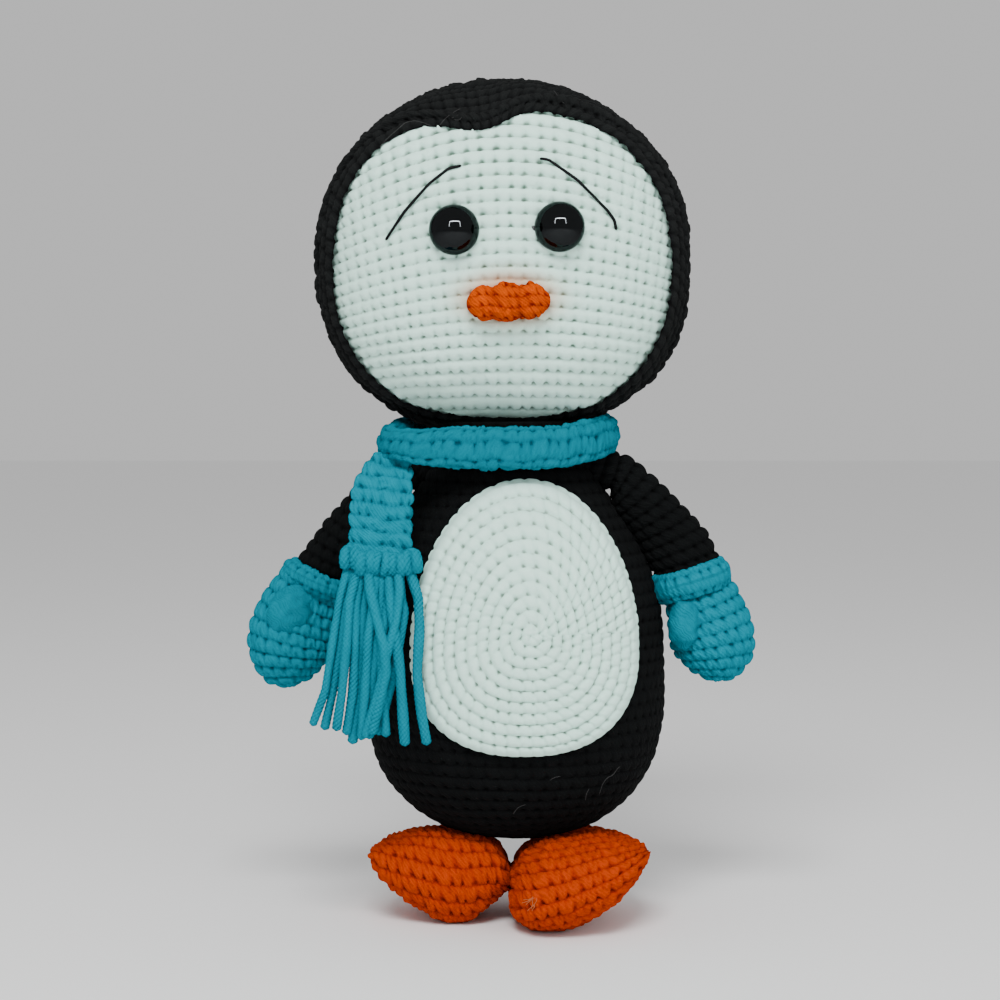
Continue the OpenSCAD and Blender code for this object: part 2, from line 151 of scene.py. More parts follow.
class Skin:
    """A closed skin made of rings of evenly spaced points: surf(u, v) gives points (mm), u once round, v from one end to the other."""

    def __init__(self, surf, spacing, v0=0.0, v1=1.0, loop=False, poles=(True, True), dense=400, min_ring=8):
        self.surf = surf
        vs = np.linspace(v0, v1, dense)
        us = np.linspace(0, 1, 16, endpoint=False)
        g = np.stack([surf(np.full(dense, u), vs) for u in us])
        seg = np.linalg.norm(np.diff(g, axis=1), axis=2)
        arc = np.concatenate([[0], np.cumsum(seg.mean(0))])
        self.length = arc[-1]
        rows = max(4, int(round(np.cumsum(seg.max(0))[-1] / spacing)))
        want = np.linspace(0, arc[-1], rows + 1)
        if loop:
            want = want[:-1]
        elif poles[0]:
            want = want[1:]
        if not loop and poles[1]:
            want = want[:-1]
        v = np.interp(want, arc, vs)
        self.arc_at = lambda x: np.interp(x, vs, arc)
        self.v_at = lambda x: np.interp(x, arc, vs)
        ur = np.linspace(0, 1, 96, endpoint=False)
        per = np.array([np.linalg.norm(np.diff(surf(np.append(ur, 1.0), np.full(97, x)), axis=0), axis=1).sum() for x in v])
        cnt = np.maximum(min_ring, np.round(per / spacing)).astype(int)
        self.rows_v, self.per, self.cnt = v, per, cnt
        self.U = np.concatenate([np.arange(c) / c for c in cnt])
        self.V = np.concatenate([np.full(c, x) for c, x in zip(cnt, v)])
        self.A = self.arc_at(self.V)
        self.ring = np.concatenate([np.full(c, i) for i, c in enumerate(cnt)])
        start = np.concatenate([[0], np.cumsum(cnt)])
        e = 1e-4
        self.P = surf(self.U, self.V)
        pu = surf(self.U + e, self.V) - surf(self.U - e, self.V)
        dv = (v1 - v0) * 1e-4
        pv = surf(self.U, np.clip(self.V + dv, min(v0, v1), max(v0, v1)) if not loop else self.V + dv) - surf(
            self.U, np.clip(self.V - dv, min(v0, v1), max(v0, v1)) if not loop else self.V - dv)
        nn = np.cross(pu, pv)
        self.Tu = pu / np.maximum(np.linalg.norm(pu, axis=1, keepdims=True), 1e-12)
        self.Tv = pv / np.maximum(np.linalg.norm(pv, axis=1, keepdims=True), 1e-12)
        nn = nn / np.maximum(np.linalg.norm(nn, axis=1, keepdims=True), 1e-12)
        cen = np.zeros_like(self.P)
        sums = np.add.reduceat(self.P, start[:-1], axis=0) / cnt[:, None]
        cen = sums[self.ring]
        sign = 1.0 if ((self.P - cen) * nn).sum() > 0 else -1.0
        self.N = nn * sign
        tris, uu, rr = [], [], []
        span = arc[-1]
        frac = want / span
        last = len(cnt) - 1
        for i in range(last + (1 if loop else 0)):
            i2 = (i + 1) % len(cnt)
            t, u, r = zip_rings(int(cnt[i]), int(cnt[i2]), int(start[i]), int(start[i2]), frac[i], 1.0 if i2 < i else frac[i2])
            tris.append(t), uu.append(u), rr.append(r)
        self.extra = []
        nv = len(self.U)
        self.ends = []
        if not loop:
            for side, at in ((0, v0), (1, v1)):
                if not poles[side]:
                    continue
                c, st = (int(cnt[0]), int(start[0])) if side == 0 else (int(cnt[-1]), int(start[-2]))
                k = np.arange(c)
                idx = nv + len(self.ends)
                self.ends.append(surf(np.zeros(1), np.full(1, at))[0] if True else None)
                a, b = st + k, st + (k + 1) % c
                t = np.stack([b, a, np.full(c, idx)], 1) if side == 0 else np.stack([a, b, np.full(c, idx)], 1)
                ua, ub, um = k / c, (k + 1) / c, (k + 0.5) / c
                u = np.stack([ub, ua, um], 1) if side == 0 else np.stack([ua, ub, um], 1)
                rv = 0.0 if side == 0 else 1.0
                fr = frac[0] if side == 0 else frac[-1]
                r = np.tile([fr, fr, rv], (c, 1))
                tris.append(t), uu.append(u), rr.append(r)
        self.T = np.concatenate(tris)
        if sign < 0:
            self.T = self.T[:, [0, 2, 1]]
        uu, rr = np.concatenate(uu), np.concatenate(rr)
        if sign < 0:
            uu, rr = uu[:, [0, 2, 1]], rr[:, [0, 2, 1]]
        wide = np.interp(rr, frac, cnt / cnt.max()) * 0.9 + 0.1
        self.UV = np.stack([0.5 + (uu - 0.5) * wide, rr], 2).reshape(-1, 2)

    def out(self, name, mat, d, su=0.0, sv=0.0, attrs=None, st=None):
        """The object, with each point moved d mm out and su, sv mm along the surface."""
        q = self.P + self.N * np.broadcast_to(d, len(self.P))[:, None]
        q = q + self.Tu * np.broadcast_to(su, len(self.P))[:, None] + self.Tv * np.broadcast_to(sv, len(self.P))[:, None]
        if st:
            attrs = dict(attrs or {}, sx=st[0], sy=st[1])
        at = {k: np.concatenate([np.broadcast_to(v, len(self.P)), np.full(len(self.ends), float(np.mean(v)))]) for k, v in (attrs or {}).items()}
        if self.ends:
            # an end point sits at the mean of its ring, moved like it
            ex = []
            for n, e in enumerate(self.ends):
                first = n == 0 and len(self.ends) == 2 or (len(self.ends) == 1 and np.linalg.norm(e - self.P[0]) < np.linalg.norm(e - self.P[-1]))
                r = self.ring == (0 if first else self.ring[-1])
                ex.append(q[r].mean(0) if np.linalg.norm(self.P[r].mean(0) - e) < 2.0 else e)
            q = np.concatenate([q, np.array(ex)])
        return make_mesh(name, q, self.T, mat, at, self.UV)

    def rounds(self, pitch, width, first=0.0, seed=0, start_arc=0.0):
        """Stitch numbers for rounds worked ring after ring: s counts stitches along a round, r counts rounds."""
        r = (self.A - start_arc) / pitch + first
        j = np.floor(r).astype(int)
        s = np.zeros(len(r))
        for x in np.unique(j):
            mid = self.v_at(np.clip((x + 0.5 - first) * pitch + start_arc, 0, self.length))
            us = np.linspace(0, 1, 97)
            per = np.linalg.norm(np.diff(self.surf(us, np.full(97, float(mid))), axis=0), axis=1).sum()
            n = max(5, int(round(per / width)))
            pick = j == x
            s[pick] = self.U[pick] * n + 0.5 * (x % 2) + hash01(x, 3, seed) * 0.3
        return s, r


# ---------------------------------------------------------------- stitches
STITCH = dict(amp=1.0, rp=2.4, rq=0.6, slant=0.15, cw=0.12, cd=0.5, ct=0.3, mid=0.0, leg=0.0, lw=0.25, l0=0.07, l1=0.23,
              hole=0.8, hw=0.13, hh=0.14, hb=0.06, rand=0.18, wob=0.05, post=0.15)
# thick, soft yarn, where each stitch is a V of two strands
SOFT = dict(amp=1.15, rp=2.2, rq=0.6, slant=0.2, cd=0.40, cw=0.10, ct=0.5, hole=0.65, hw=0.13, hh=0.14, leg=0.75, l0=0.12, l1=0.22, lw=0.25, rand=0.35, wob=0.12)


def relief(s, r, seed=0, **kw):
    """Height (mm) of single crochet at stitch number s along row r, and how open to the light it is (0 to 1), which the
    yarns paint as light on open tops and as shade in gaps and holes.
    A row is a rounded roll. Each stitch on it has two legs that spread from its foot, and a gap at the foot between it
    and the next."""
    st = dict(STITCH, **kw)
    j = np.floor(r)
    b = r - j
    sp = s + st["slant"] * (b - 0.5) + st["wob"] * np.sin(2 * np.pi * (s * 0.37 + hash01(j, 0, seed + 9)))
    i = np.floor(sp)
    a = sp - i - 0.5
    h1, h2, h3 = hash01(i, j, seed), hash01(i, j, seed + 1), hash01(i, j, seed + 2)
    a2 = a + (h3 - 0.5) * 0.10
    roll = st["post"] + (1 - st["post"]) * np.clip(1 - np.abs(2 * b - 1) ** st["rp"], 0, 1) ** st["rq"]
    edge = 0.5 - np.abs(a)
    low = 1 - smooth((b - 0.28) / 0.34)
    crease = gauss(edge, st["cw"])
    h = roll * (1 - st["cd"] * crease * mix(st["ct"], 1.0, low) - st["mid"] * gauss(a2, 0.08) * low)
    if st["leg"]:
        side = np.where(a2 > 0, 1.0, -1.0)
        tall = 1 + 0.35 * (hash01(2 * i + (side > 0), j, seed + 3) - 0.5)
        dist = (np.abs(a2) - (st["l0"] + st["l1"] * b)) / st["lw"]
        leg = np.sqrt(np.clip(1 - dist ** 2, 0, 1)) * tall
        h = roll * mix(1.0, 0.25 + 0.75 * leg, st["leg"]) * (1 - st["cd"] * crease * mix(st["ct"], 1.0, low))
    h = h * (1 + st["rand"] * (h1 - 0.5))
    hs = hash01(np.floor(sp + 0.5), j, seed + 4)
    pit = gauss(edge, st["hw"]) * (gauss(b - st["hb"], st["hh"]) + 0.5 * gauss(b - 1 - st["hb"], st["hh"]))
    d = st["amp"] * h - st["hole"] * pit * (0.4 + 1.2 * hs)
    # painted light: open stitch tops lighter, holes and gaps darker as painted shade
    light = np.clip(0.2 + 0.95 * h - 0.8 * pit * (0.4 + hs), 0, 1)
    return d, light


# ---------------------------------------------------------------- materials
def lin(rgb):
    return [((c / 255) / 12.92 if c / 255 <= 0.04045 else (((c / 255) + 0.055) / 1.055) ** 2.4) for c in rgb]


def yarn(name, rgb, dark, rough=0.85, sheen=0.05, sheen_rough=0.5, bump=0.35, fibre=2600, spec=0.12, light=None, var=0.10, beak_tint=None, ply=0.0, pitch=1.05):
    """Yarn, in linear colours: it drifts from place to place, is painted darker in the gaps between stitches as painted
    shade and lighter on open tops as painted light, and has plies and fine fibres in its surface. sx and sy are
    millimetres along and across the row."""
    m = bpy.data.materials.new(name)
    m.use_nodes = True
    nt = m.node_tree
    nt.nodes.clear()
    N, L = nt.nodes.new, nt.links.new

    def math_node(op, *args):
        n = N("ShaderNodeMath")
        n.operation = op
        for k, x in enumerate(args):
            if isinstance(x, (int, float)):
                n.inputs[k].default_value = x
            else:
                L(x, n.inputs[k])
        return n.outputs[0]

    def attribute(key):
        n = N("ShaderNodeAttribute")
        n.attribute_name = key
        return n.outputs["Fac"]

    out = N("ShaderNodeOutputMaterial")
    bs = N("ShaderNodeBsdfPrincipled")
    L(bs.outputs[0], out.inputs[0])
    bs.inputs["Roughness"].default_value = rough
    bs.inputs["Specular IOR Level"].default_value = spec
    bs.inputs["Sheen Weight"].default_value = sheen
    bs.inputs["Sheen Roughness"].default_value = sheen_rough
    bs.inputs["Sheen Tint"].default_value = (*[min(1, 0.15 + 2.2 * c) for c in rgb], 1)
    co = N("ShaderNodeTexCoord")
    big = N("ShaderNodeTexNoise")
    big.inputs["Scale"].default_value = 140
    big.inputs["Detail"].default_value = 3
    L(co.outputs["Object"], big.inputs["Vector"])
    fine = N("ShaderNodeTexNoise")
    fine.inputs["Scale"].default_value = fibre
    fine.inputs["Detail"].default_value = 4
    fine.inputs["Roughness"].default_value = 0.65
    L(co.outputs["Object"], fine.inputs["Vector"])
    ramp = N("ShaderNodeValToRGB")
    cr = ramp.color_ramp
    base, deep = rgb, dark
    top = light if light else [min(1, c * 1.12) for c in base]
    # the ramp paints shade and light: dark is the painted shade in the gaps, light is the painted light on the most
    # open tops
    cr.elements[0].position, cr.elements[0].color = 0.05, (*deep, 1)
    cr.elements[1].position, cr.elements[1].color = 0.55, (*base, 1)
    e = cr.elements.new(1.0)
    e.color = (*top, 1)
    height = fine.outputs["Fac"]
    shade = attribute("painted_light")
    if ply:
        turn = math_node("MULTIPLY_ADD", attribute("sx"), 0.80 / pitch, math_node("MULTIPLY", attribute("sy"), 0.60 / pitch))
        turn = math_node("MULTIPLY_ADD", big.outputs["Fac"], 3.0, turn)
        wave = math_node("ABSOLUTE", math_node("SINE", math_node("MULTIPLY", turn, math.pi)))
        height = math_node("MULTIPLY_ADD", wave, ply, height)
        # the ply wave also paints shade into the grooves between plies
        shade = math_node("MULTIPLY_ADD", math_node("SUBTRACT", wave, 0.6), 0.22 * ply, shade)
    L(shade, ramp.inputs["Fac"])
    mul = N("ShaderNodeMix")
    mul.data_type = "RGBA"
    mul.blend_type = "MULTIPLY"
    mul.inputs["Factor"].default_value = 1.0
    mr = N("ShaderNodeMapRange")
    mr.inputs["From Min"].default_value, mr.inputs["From Max"].default_value = 0.3, 0.7
    mr.inputs["To Min"].default_value, mr.inputs["To Max"].default_value = 1 - var, 1 + var * 0.5
    both = math_node("MULTIPLY_ADD", fine.outputs["Fac"], 0.5, math_node("MULTIPLY", big.outputs["Fac"], 0.5))
    L(both, mr.inputs["Value"])
    L(ramp.outputs["Color"], mul.inputs["A"])
    L(mr.outputs["Result"], mul.inputs["B"])
    col = mul.outputs["Result"]
    if beak_tint:
        mx = N("ShaderNodeMix")
        mx.data_type = "RGBA"
        mx.inputs["B"].default_value = (*beak_tint, 1)
        L(attribute("beak_tint"), mx.inputs["Factor"])
        L(col, mx.inputs["A"])
        col = mx.outputs["Result"]
    L(col, bs.inputs["Base Color"])
    bp = N("ShaderNodeBump")
    bp.inputs["Strength"].default_value = bump
    bp.inputs["Distance"].default_value = 0.0004
    L(height, bp.inputs["Height"])
    L(bp.outputs["Normal"], bs.inputs["Normal"])
    return m


def plastic(name, rgb, rough, coat=0.0, ior=1.5, scratch=0.02, metal=0.0):
    m = bpy.data.materials.new(name)
    m.use_nodes = True
    nt = m.node_tree
    bs = nt.nodes["Principled BSDF"]
    bs.inputs["Roughness"].default_value = rough
    bs.inputs["IOR"].default_value = ior
    bs.inputs["Coat Weight"].default_value = coat
    bs.inputs["Coat Roughness"].default_value = 0.02
    if metal:
        # a dark lacquer that mirrors its surroundings faintly, no more at its edge than in its middle
        bs.inputs["Metallic"].default_value = metal
        bs.inputs["Specular Tint"].default_value = (0.55, 0.55, 0.55, 1)
    co = nt.nodes.new("ShaderNodeTexCoord")
    no = nt.nodes.new("ShaderNodeTexNoise")
    no.inputs["Scale"].default_value = 900
    mr = nt.nodes.new("ShaderNodeMix")
    mr.data_type = "RGBA"
    c = lin(rgb)
    mr.inputs["A"].default_value = (*[x * 0.85 for x in c], 1)
    mr.inputs["B"].default_value = (*[min(1, x * 1.15) for x in c], 1)
    nt.links.new(co.outputs["Object"], no.inputs["Vector"])
    nt.links.new(no.outputs["Fac"], mr.inputs["Factor"])
    nt.links.new(mr.outputs["Result"], bs.inputs["Base Color"])
    bp = nt.nodes.new("ShaderNodeBump")
    bp.inputs["Strength"].default_value = scratch
    bp.inputs["Distance"].default_value = 0.0002
    nt.links.new(no.outputs["Fac"], bp.inputs["Height"])
    nt.links.new(bp.outputs["Normal"], bs.inputs["Normal"])
    return m


# for each yarn the second colour is its painted shade in the gaps, and light= is its painted light on open tops
WHITE = yarn("white_cotton", (0.575, 0.845, 0.745), (0.24, 0.35, 0.29), rough=0.8, bump=0.25, var=0.05, light=(0.64, 0.93, 0.82), beak_tint=(0.62, 0.30, 0.16))
BLACK = yarn("black_acrylic", (0.0030, 0.0034, 0.0036), (0.0012, 0.0013, 0.0014), rough=0.95, sheen=0.02, spec=0.04, bump=0.5, var=0.3, light=(0.0044, 0.0050, 0.0052), ply=0.6)
HOOD = yarn("black_acrylic_hood", (0.0060, 0.0066, 0.0068), (0.0014, 0.0015, 0.0016), rough=0.95, sheen=0.03, spec=0.05, bump=0.6, var=0.3, light=(0.010, 0.011, 0.011), ply=0.6)
# one teal yarn in two copies: teal_acrylic_lit is painted about a quarter lighter, as painted light, for the tail,
# fringe, mittens, cuffs and thumbs; teal_acrylic on the wrap keeps the darker tone that holds the painted shade under
# the head
TEAL = yarn("teal_acrylic", (0.0, 0.142, 0.198), (0.0, 0.068, 0.102), rough=0.95, sheen=0.0, spec=0.0, bump=0.6, light=(0.0, 0.168, 0.232), ply=0.55)
TEAL_L = yarn("teal_acrylic_lit", (0.0, 0.180, 0.250), (0.0, 0.082, 0.122), rough=0.95, sheen=0.0, spec=0.0, bump=0.6, light=(0.0, 0.212, 0.292), ply=0.6)
ORANGE = yarn("orange_acrylic", (0.400, 0.031, 0.002), (0.25, 0.012, 0.0005), rough=0.95, sheen=0.0, spec=0.0, bump=0.6, light=(0.46, 0.042, 0.002), ply=1.0)
BEAK = yarn("beak_acrylic", (0.560, 0.064, 0.0), (0.19, 0.007, 0.0), rough=0.95, sheen=0.0, spec=0.0, bump=0.9, light=(0.68, 0.090, 0.001), ply=0.6, pitch=0.95)
THREAD = yarn("black_thread", (0.004, 0.004, 0.005), (0.001, 0.001, 0.001), rough=0.6, sheen=0.0, spec=0.1, bump=0.2)
LINT = yarn("grey_lint", (0.055, 0.055, 0.055), (0.04, 0.04, 0.04), rough=0.8, sheen=0.0, spec=0.1, bump=0.1)
TUFT = yarn("pale_lint", (0.42, 0.13, 0.05), (0.3, 0.14, 0.07), rough=0.8, sheen=0.0, spec=0.1, bump=0.1)
EYE = plastic("black_eye", (36, 38, 39), 0.04, scratch=0.0, metal=1.0)
GREY = plastic("grey_washer", (70, 72, 74), 0.4, scratch=0.3)

# ---------------------------------------------------------------- head
HX, HZ = 1.0, 217.0
HA, HH, CHIN, HD, HT = 57.3, 52.6, 3.4, 43.0, 2.7


def sil(q, a, h):
    c, s = np.cos(q), np.sin(q)
    e = np.where(s < 0, 2.6, 2.0)
    return (np.abs(c / a) ** e + np.abs(s / np.where(s < 0, h + CHIN, h)) ** e) ** (-1 / e)


def head_y(x, z):
    r, q = np.hypot(x - HX, z - HZ), np.arctan2(z - HZ, x - HX)
    return -HD * np.maximum(1e-4, 1 - (r / sil(q, HA, HH)) ** 2.4) ** (1 / 2.4)


def open_g(x, z):
    dip = 7.2 * np.exp(-(((x + 6) / np.where(x > -6, 10.5, 17)) ** 2))
    up = z > 208
    b = np.where(up, 51.3 - dip, 49.6)
    e = np.where(up, 2.4, 2.2)
    return (np.abs((x - 0.7) / 54.6)) ** e + (np.abs((z - 208) / b)) ** e


def open_r(q):
    lo, hi = np.full(np.shape(q), 5.0), np.full(np.shape(q), 70.0)
    for _ in range(30):
        m = (lo + hi) / 2
        big = open_g(HX + m * np.cos(q), HZ + m * np.sin(q)) > 1
        hi, lo = np.where(big, m, hi), np.where(big, lo, m)
    return lo


def face_surf(u, v):
    q = u * 2 * np.pi
    s = sil(q, HA, HH)
    f = v * np.minimum(0.985, (open_r(q) + 3.5) / s)
    r = f * s
    return np.stack([HX + r * np.cos(q), OY - HD * np.maximum(0, 1 - f ** 2.4) ** (1 / 2.4), HZ + r * np.sin(q)], -1)


def face_rows(x, z):
    """Rows of the face: level at the chin, arching up towards the brow."""
    k = np.interp(z, [165, 190, 215, 240, 260], [0.0004, 0.0018, 0.0034, 0.0050, 0.0060])
    tilt = np.interp(z, [165, 190, 215, 240], [0.0, 0.03, 0.015, 0.0])
    arch = k * (x - 3) ** 2 + tilt * np.maximum(0, -(x - 3))
    return (z + arch) / 4.02


face = Skin(face_surf, 0.52, poles=(True, False))
fx, fz = face.P[:, 0], face.P[:, 2]
fr = face_rows(fx, fz)
# the columns stand over each other and draw together towards the chin
fs = (fx - 3 + 0.08 * fx * (np.abs(fx) / 50) ** 4) / (4.12 * (1 + 0.003 * (fz - 205)))
d, painted_light = relief(fs, fr, seed=11, amp=1.25, rp=2.0, rq=0.6, slant=0.16, cw=0.18, cd=0.52, ct=0.25, mid=0.0, hole=0.95, hw=0.17, hh=0.14, hb=0.07, rand=0.22, wob=0.07, post=0.15)
up_ = smooth((fz - 222) / 22)
d = d * (1 + 0.35 * up_) + 0.25 * noise3(face.P, 9, 5)
# towards the brow the painted shade in the gaps is deepened along with the relief
painted_light = np.clip(1 - (1 - painted_light) * (1 + 0.35 * up_), 0, 1)
# an orange tint on the white face around the beak
bl = 0.85 * np.exp(-(((fx - 2.6) / 16) ** 2 + ((fz - 199.5) / 8.5) ** 2) ** 2)
face_ob = face.out("face", WHITE, d - 0.4, st=(fs * 4.08, fr * 4.02), attrs={"painted_light": painted_light, "beak_tint": bl})


def hood_surf(u, v):
    q = u * 2 * np.pi
    a, h, dd = HA + 0.9 + HT, HH + 2.0, HD + 0.7 + HT
    s = sil(q, a, h)
    w0 = np.arcsin(np.minimum(0.965, open_r(q) / s) ** 1.2)
    w = mix(w0, np.pi, v)
    r = s * np.maximum(0, np.sin(w)) ** (2 / 2.4)
    return np.stack([HX + r * np.cos(q), OY - dd * spow(np.cos(w), 2 / 2.4), HZ + r * np.sin(q)], -1)


hood = Skin(hood_surf, 0.72, v0=0.0, v1=1.0, poles=(False, True))
s, r = hood.rounds(4.7, 4.5, seed=21)
d, painted_light = relief(s, r, seed=22, amp=1.5, slant=0.25, cd=0.5, cw=0.13, ct=0.5, hole=0.7, leg=0.5, rand=0.35, rq=0.7)
d = d + 0.45 * noise3(hood.P, 4.0, 23)
fade = smooth(hood.A / 3.0)
hood_ob = hood.out("hood_skin", HOOD, d - 1.6, st=(s * 4.5, r * 4.7), attrs={"painted_light": painted_light})


# raised rim round the face
def rim_surf(u, v):
    q = u * 2 * np.pi
    chin = smooth((-np.sin(q) - 0.35) / 0.6)
    top = smooth((np.sin(q) - 0.5) / 0.5)
    rad = mix(2.6, 1.6, chin)
    rr = open_r(q) + mix(mix(1.8, 1.1, chin), 1.6, top)
    s = sil(q, HA, HH)
    y = OY - HD * np.maximum(1e-3, 1 - np.minimum(0.992, rr / s) ** 2.4) ** (1 / 2.4)
    # outward direction of the head's surface there
    e = 0.5
    y2 = OY - HD * np.maximum(1e-3, 1 - np.minimum(0.992, (rr - e) / s) ** 2.4) ** (1 / 2.4)
    tr, ty = e, y - y2
    L = np.hypot(tr, ty)
    nr, ny = ty / L, -tr / L
    a = v * 2 * np.pi
    cr, cy = rr + nr * 1.3, y + ny * 1.3
    pr = cr + rad * (np.cos(a) * tr / L + np.sin(a) * nr) 
    py = cy + rad * (np.cos(a) * ty / L + np.sin(a) * ny)
    return np.stack([HX + pr * np.cos(q), py, HZ + pr * np.sin(q)], -1)


def torus_grid(surf, nu, nv):
    u, v = np.meshgrid(np.arange(nu) / nu, np.arange(nv) / nv, indexing="ij")
    U, V = u.ravel(), v.ravel()
    P = surf(U, V)
    e = 1e-4
    pu, pv = surf(U + e, V) - surf(U - e, V), surf(U, V + e) - surf(U, V - e)
    N = np.cross(pu, pv)
    N /= np.linalg.norm(N, axis=1, keepdims=True)
    cen = P.reshape(nu, nv, 3).mean(1)[np.repeat(np.arange(nu), nv)]
    sg = 1 if ((P - cen) * N).sum() > 0 else -1
    i, j = np.meshgrid(np.arange(nu), np.arange(nv), indexing="ij")
    i, j = i.ravel(), j.ravel()
    a, b, c, dd = i * nv + j, ((i + 1) % nu) * nv + j, ((i + 1) % nu) * nv + (j + 1) % nv, i * nv + (j + 1) % nv
    T = np.concatenate([np.stack([a, b, c], 1), np.stack([a, c, dd], 1)])
    uv = np.concatenate([np.stack([i, j, i + 1, j, i + 1, j + 1], 1), np.stack([i, j, i + 1, j + 1, i, j + 1], 1)]).reshape(-1, 3, 2) / np.array([nu, nv])
    if sg < 0:
        T, uv = T[:, [0, 2, 1]], uv[:, [0, 2, 1]]
    tu = pu / np.linalg.norm(pu, axis=1, keepdims=True)
    tv = pv / np.linalg.norm(pv, axis=1, keepdims=True)
    return U, V, P, N * sg, T, uv.reshape(-1, 2), tu, tv


def path_len(surf, v=0.25, n=400):
    u = np.linspace(0, 1, n)
    return np.linalg.norm(np.diff(surf(u, np.full(n, v)), axis=0), axis=1).sum()


L = path_len(rim_surf)
U, V, P, N, T, UV, TU, TV = torus_grid(rim_surf, int(L / 0.6), 28)
n_st = int(round(L / 4.6))
d, painted_light = relief(U * n_st, V * 4 + 0.5, seed=31, amp=1.1, slant=0.6, cd=0.7, cw=0.16, ct=0.7, hole=0.6, rp=2.2, rq=0.6, leg=0.4, rand=0.3)
d = d + 0.3 * noise3(P, 4.0, 32)
rim_ob = make_mesh("hood_rim", P + N * (d - 0.7)[:, None], T, HOOD, {"painted_light": painted_light, "sx": U * n_st * 4.6, "sy": V * 17}, UV)


# eyes: dome, the flat back with its rolled edge, and the shank that runs in through the face
def lathe(name, prof, centre, axis, mat, n=96):
    """prof is (radius, distance along axis) from end to end; axis is the direction, in the row frame."""
    prof = np.asarray(prof, float)
    ax = np.asarray(axis, float) / np.linalg.norm(axis)
    u = np.cross(ax, [0, 0, 1.0])
    u /= np.linalg.norm(u)
    w = np.cross(ax, u)
    q = np.arange(n) / n * 2 * np.pi
    inner = prof[1:-1]
    ring = inner[:, None, 0, None] * (np.cos(q)[None, :, None] * u + np.sin(q)[None, :, None] * w) + inner[:, None, 1, None] * ax
    pts = np.concatenate([[prof[0, 1] * ax], ring.reshape(-1, 3), [prof[-1, 1] * ax]]) + np.asarray(centre, float)
    m = len(inner)
    k = np.arange(n)
    k2 = (k + 1) % n
    tr = [np.stack([np.zeros(n, int), 1 + k, 1 + k2], 1)]
    for i in range(m - 1):
        a, b = 1 + i * n, 1 + (i + 1) * n
        tr += [np.stack([a + k, b + k, b + k2], 1), np.stack([a + k, b + k2, a + k2], 1)]
    tr.append(np.stack([1 + (m - 1) * n + k2, 1 + (m - 1) * n + k, np.full(n, 1 + m * n)], 1)[:, [1, 0, 2]][:, [0, 1, 2]])
    tr = np.concatenate(tr)
    p = pts
    vol = (p[tr[:, 0]] * np.cross(p[tr[:, 1]], p[tr[:, 2]])).sum()
    c0 = p.mean(0)
    vol = ((p[tr[:, 0]] - c0) * np.cross(p[tr[:, 1]] - c0, p[tr[:, 2]] - c0)).sum()
    if vol < 0:
        tr = tr[:, [0, 2, 1]]
    return make_mesh(name, pts, tr, mat)


EYES = ((-14.1, 220.3), (18.3, 221.2))
eye_obs = []
for name, (ex, ez) in zip(("left_eye_dome", "right_eye_dome"), EYES):
    a = np.radians(np.linspace(0, 93, 60))
    prof = [(0, 8.1)] + [(7.8 * math.sin(t), 0.3 + 7.8 * math.cos(t)) for t in a[1:]]
    prof += [(7.55, -0.35), (6.9, -0.55), (2.2, -0.5), (1.7, -0.7), (1.6, -1.2), (1.6, -12.6), (1.3, -13), (0, -13)]
    eye_obs.append(lathe(name, prof, (ex, -42.6 + OY, ez), (0, -1, 0), EYE))


# beak: a small crocheted oval, four rows lengthways
def beak_surf(u, v):
    x = -np.cos(np.pi * v)
    s = np.maximum(0, 1 - np.abs(x) ** 3.1) ** 0.46
    q = u * 2 * np.pi
    lump = 1 + 0.05 * np.cos((x * 13 + 0.8) * 2 * np.pi / 8.2) * np.maximum(0, np.sin(q + 1.57))
    z = 5.7 * s * np.cos(q) * lump
    return np.stack([2.6 + x * 13, OY + np.minimum(-42.2, -44.2 - 4.6 * s * np.sin(q)), 198.2 + z + 0.5 * np.sin(x * 1.3)], -1)


beak = Skin(beak_surf, 0.3, min_ring=10)
bs_, br_ = (beak.P[:, 0] + 0.3 * beak.P[:, 2]) / 3.1, (beak.P[:, 2] - 198.2 + 0.4 * np.sin(beak.P[:, 0] / 2.4)) / 3.4 + 100.5
d, painted_light = relief(bs_, br_, seed=41, amp=0.55, slant=0.35, cd=0.55, cw=0.17, hole=0.3, hw=0.16, hh=0.16, leg=0.5, rand=0.6, wob=0.2, post=0.3)
rib = np.abs(np.cos(np.pi * (beak.P[:, 0] - 2.6 + 0.8) / 8.2)) ** 0.6
ends_ = smooth((12.9 - np.abs(beak.P[:, 0] - 2.6)) / 4.5)
d = (0.75 * d + 0.95 * (rib - 0.6) + 0.55 * noise3(beak.P, 1.3, 6)) * ends_ + 0.3 * (1 - ends_)
# the beak's painted shade is deepened all over, and more in the creases between its rows
painted_light = 0.6 * painted_light
painted_light = np.clip(painted_light * (0.65 + 0.35 * rib), 0, 1)
front = smooth((-beak.P[:, 1] + OY - 42.4) / 1.0)
beak_ob = beak.out("beak_crochet", BEAK, (d - 0.4) * front, st=(bs_ * 3.1, br_ * 3.4), attrs={"painted_light": painted_light})


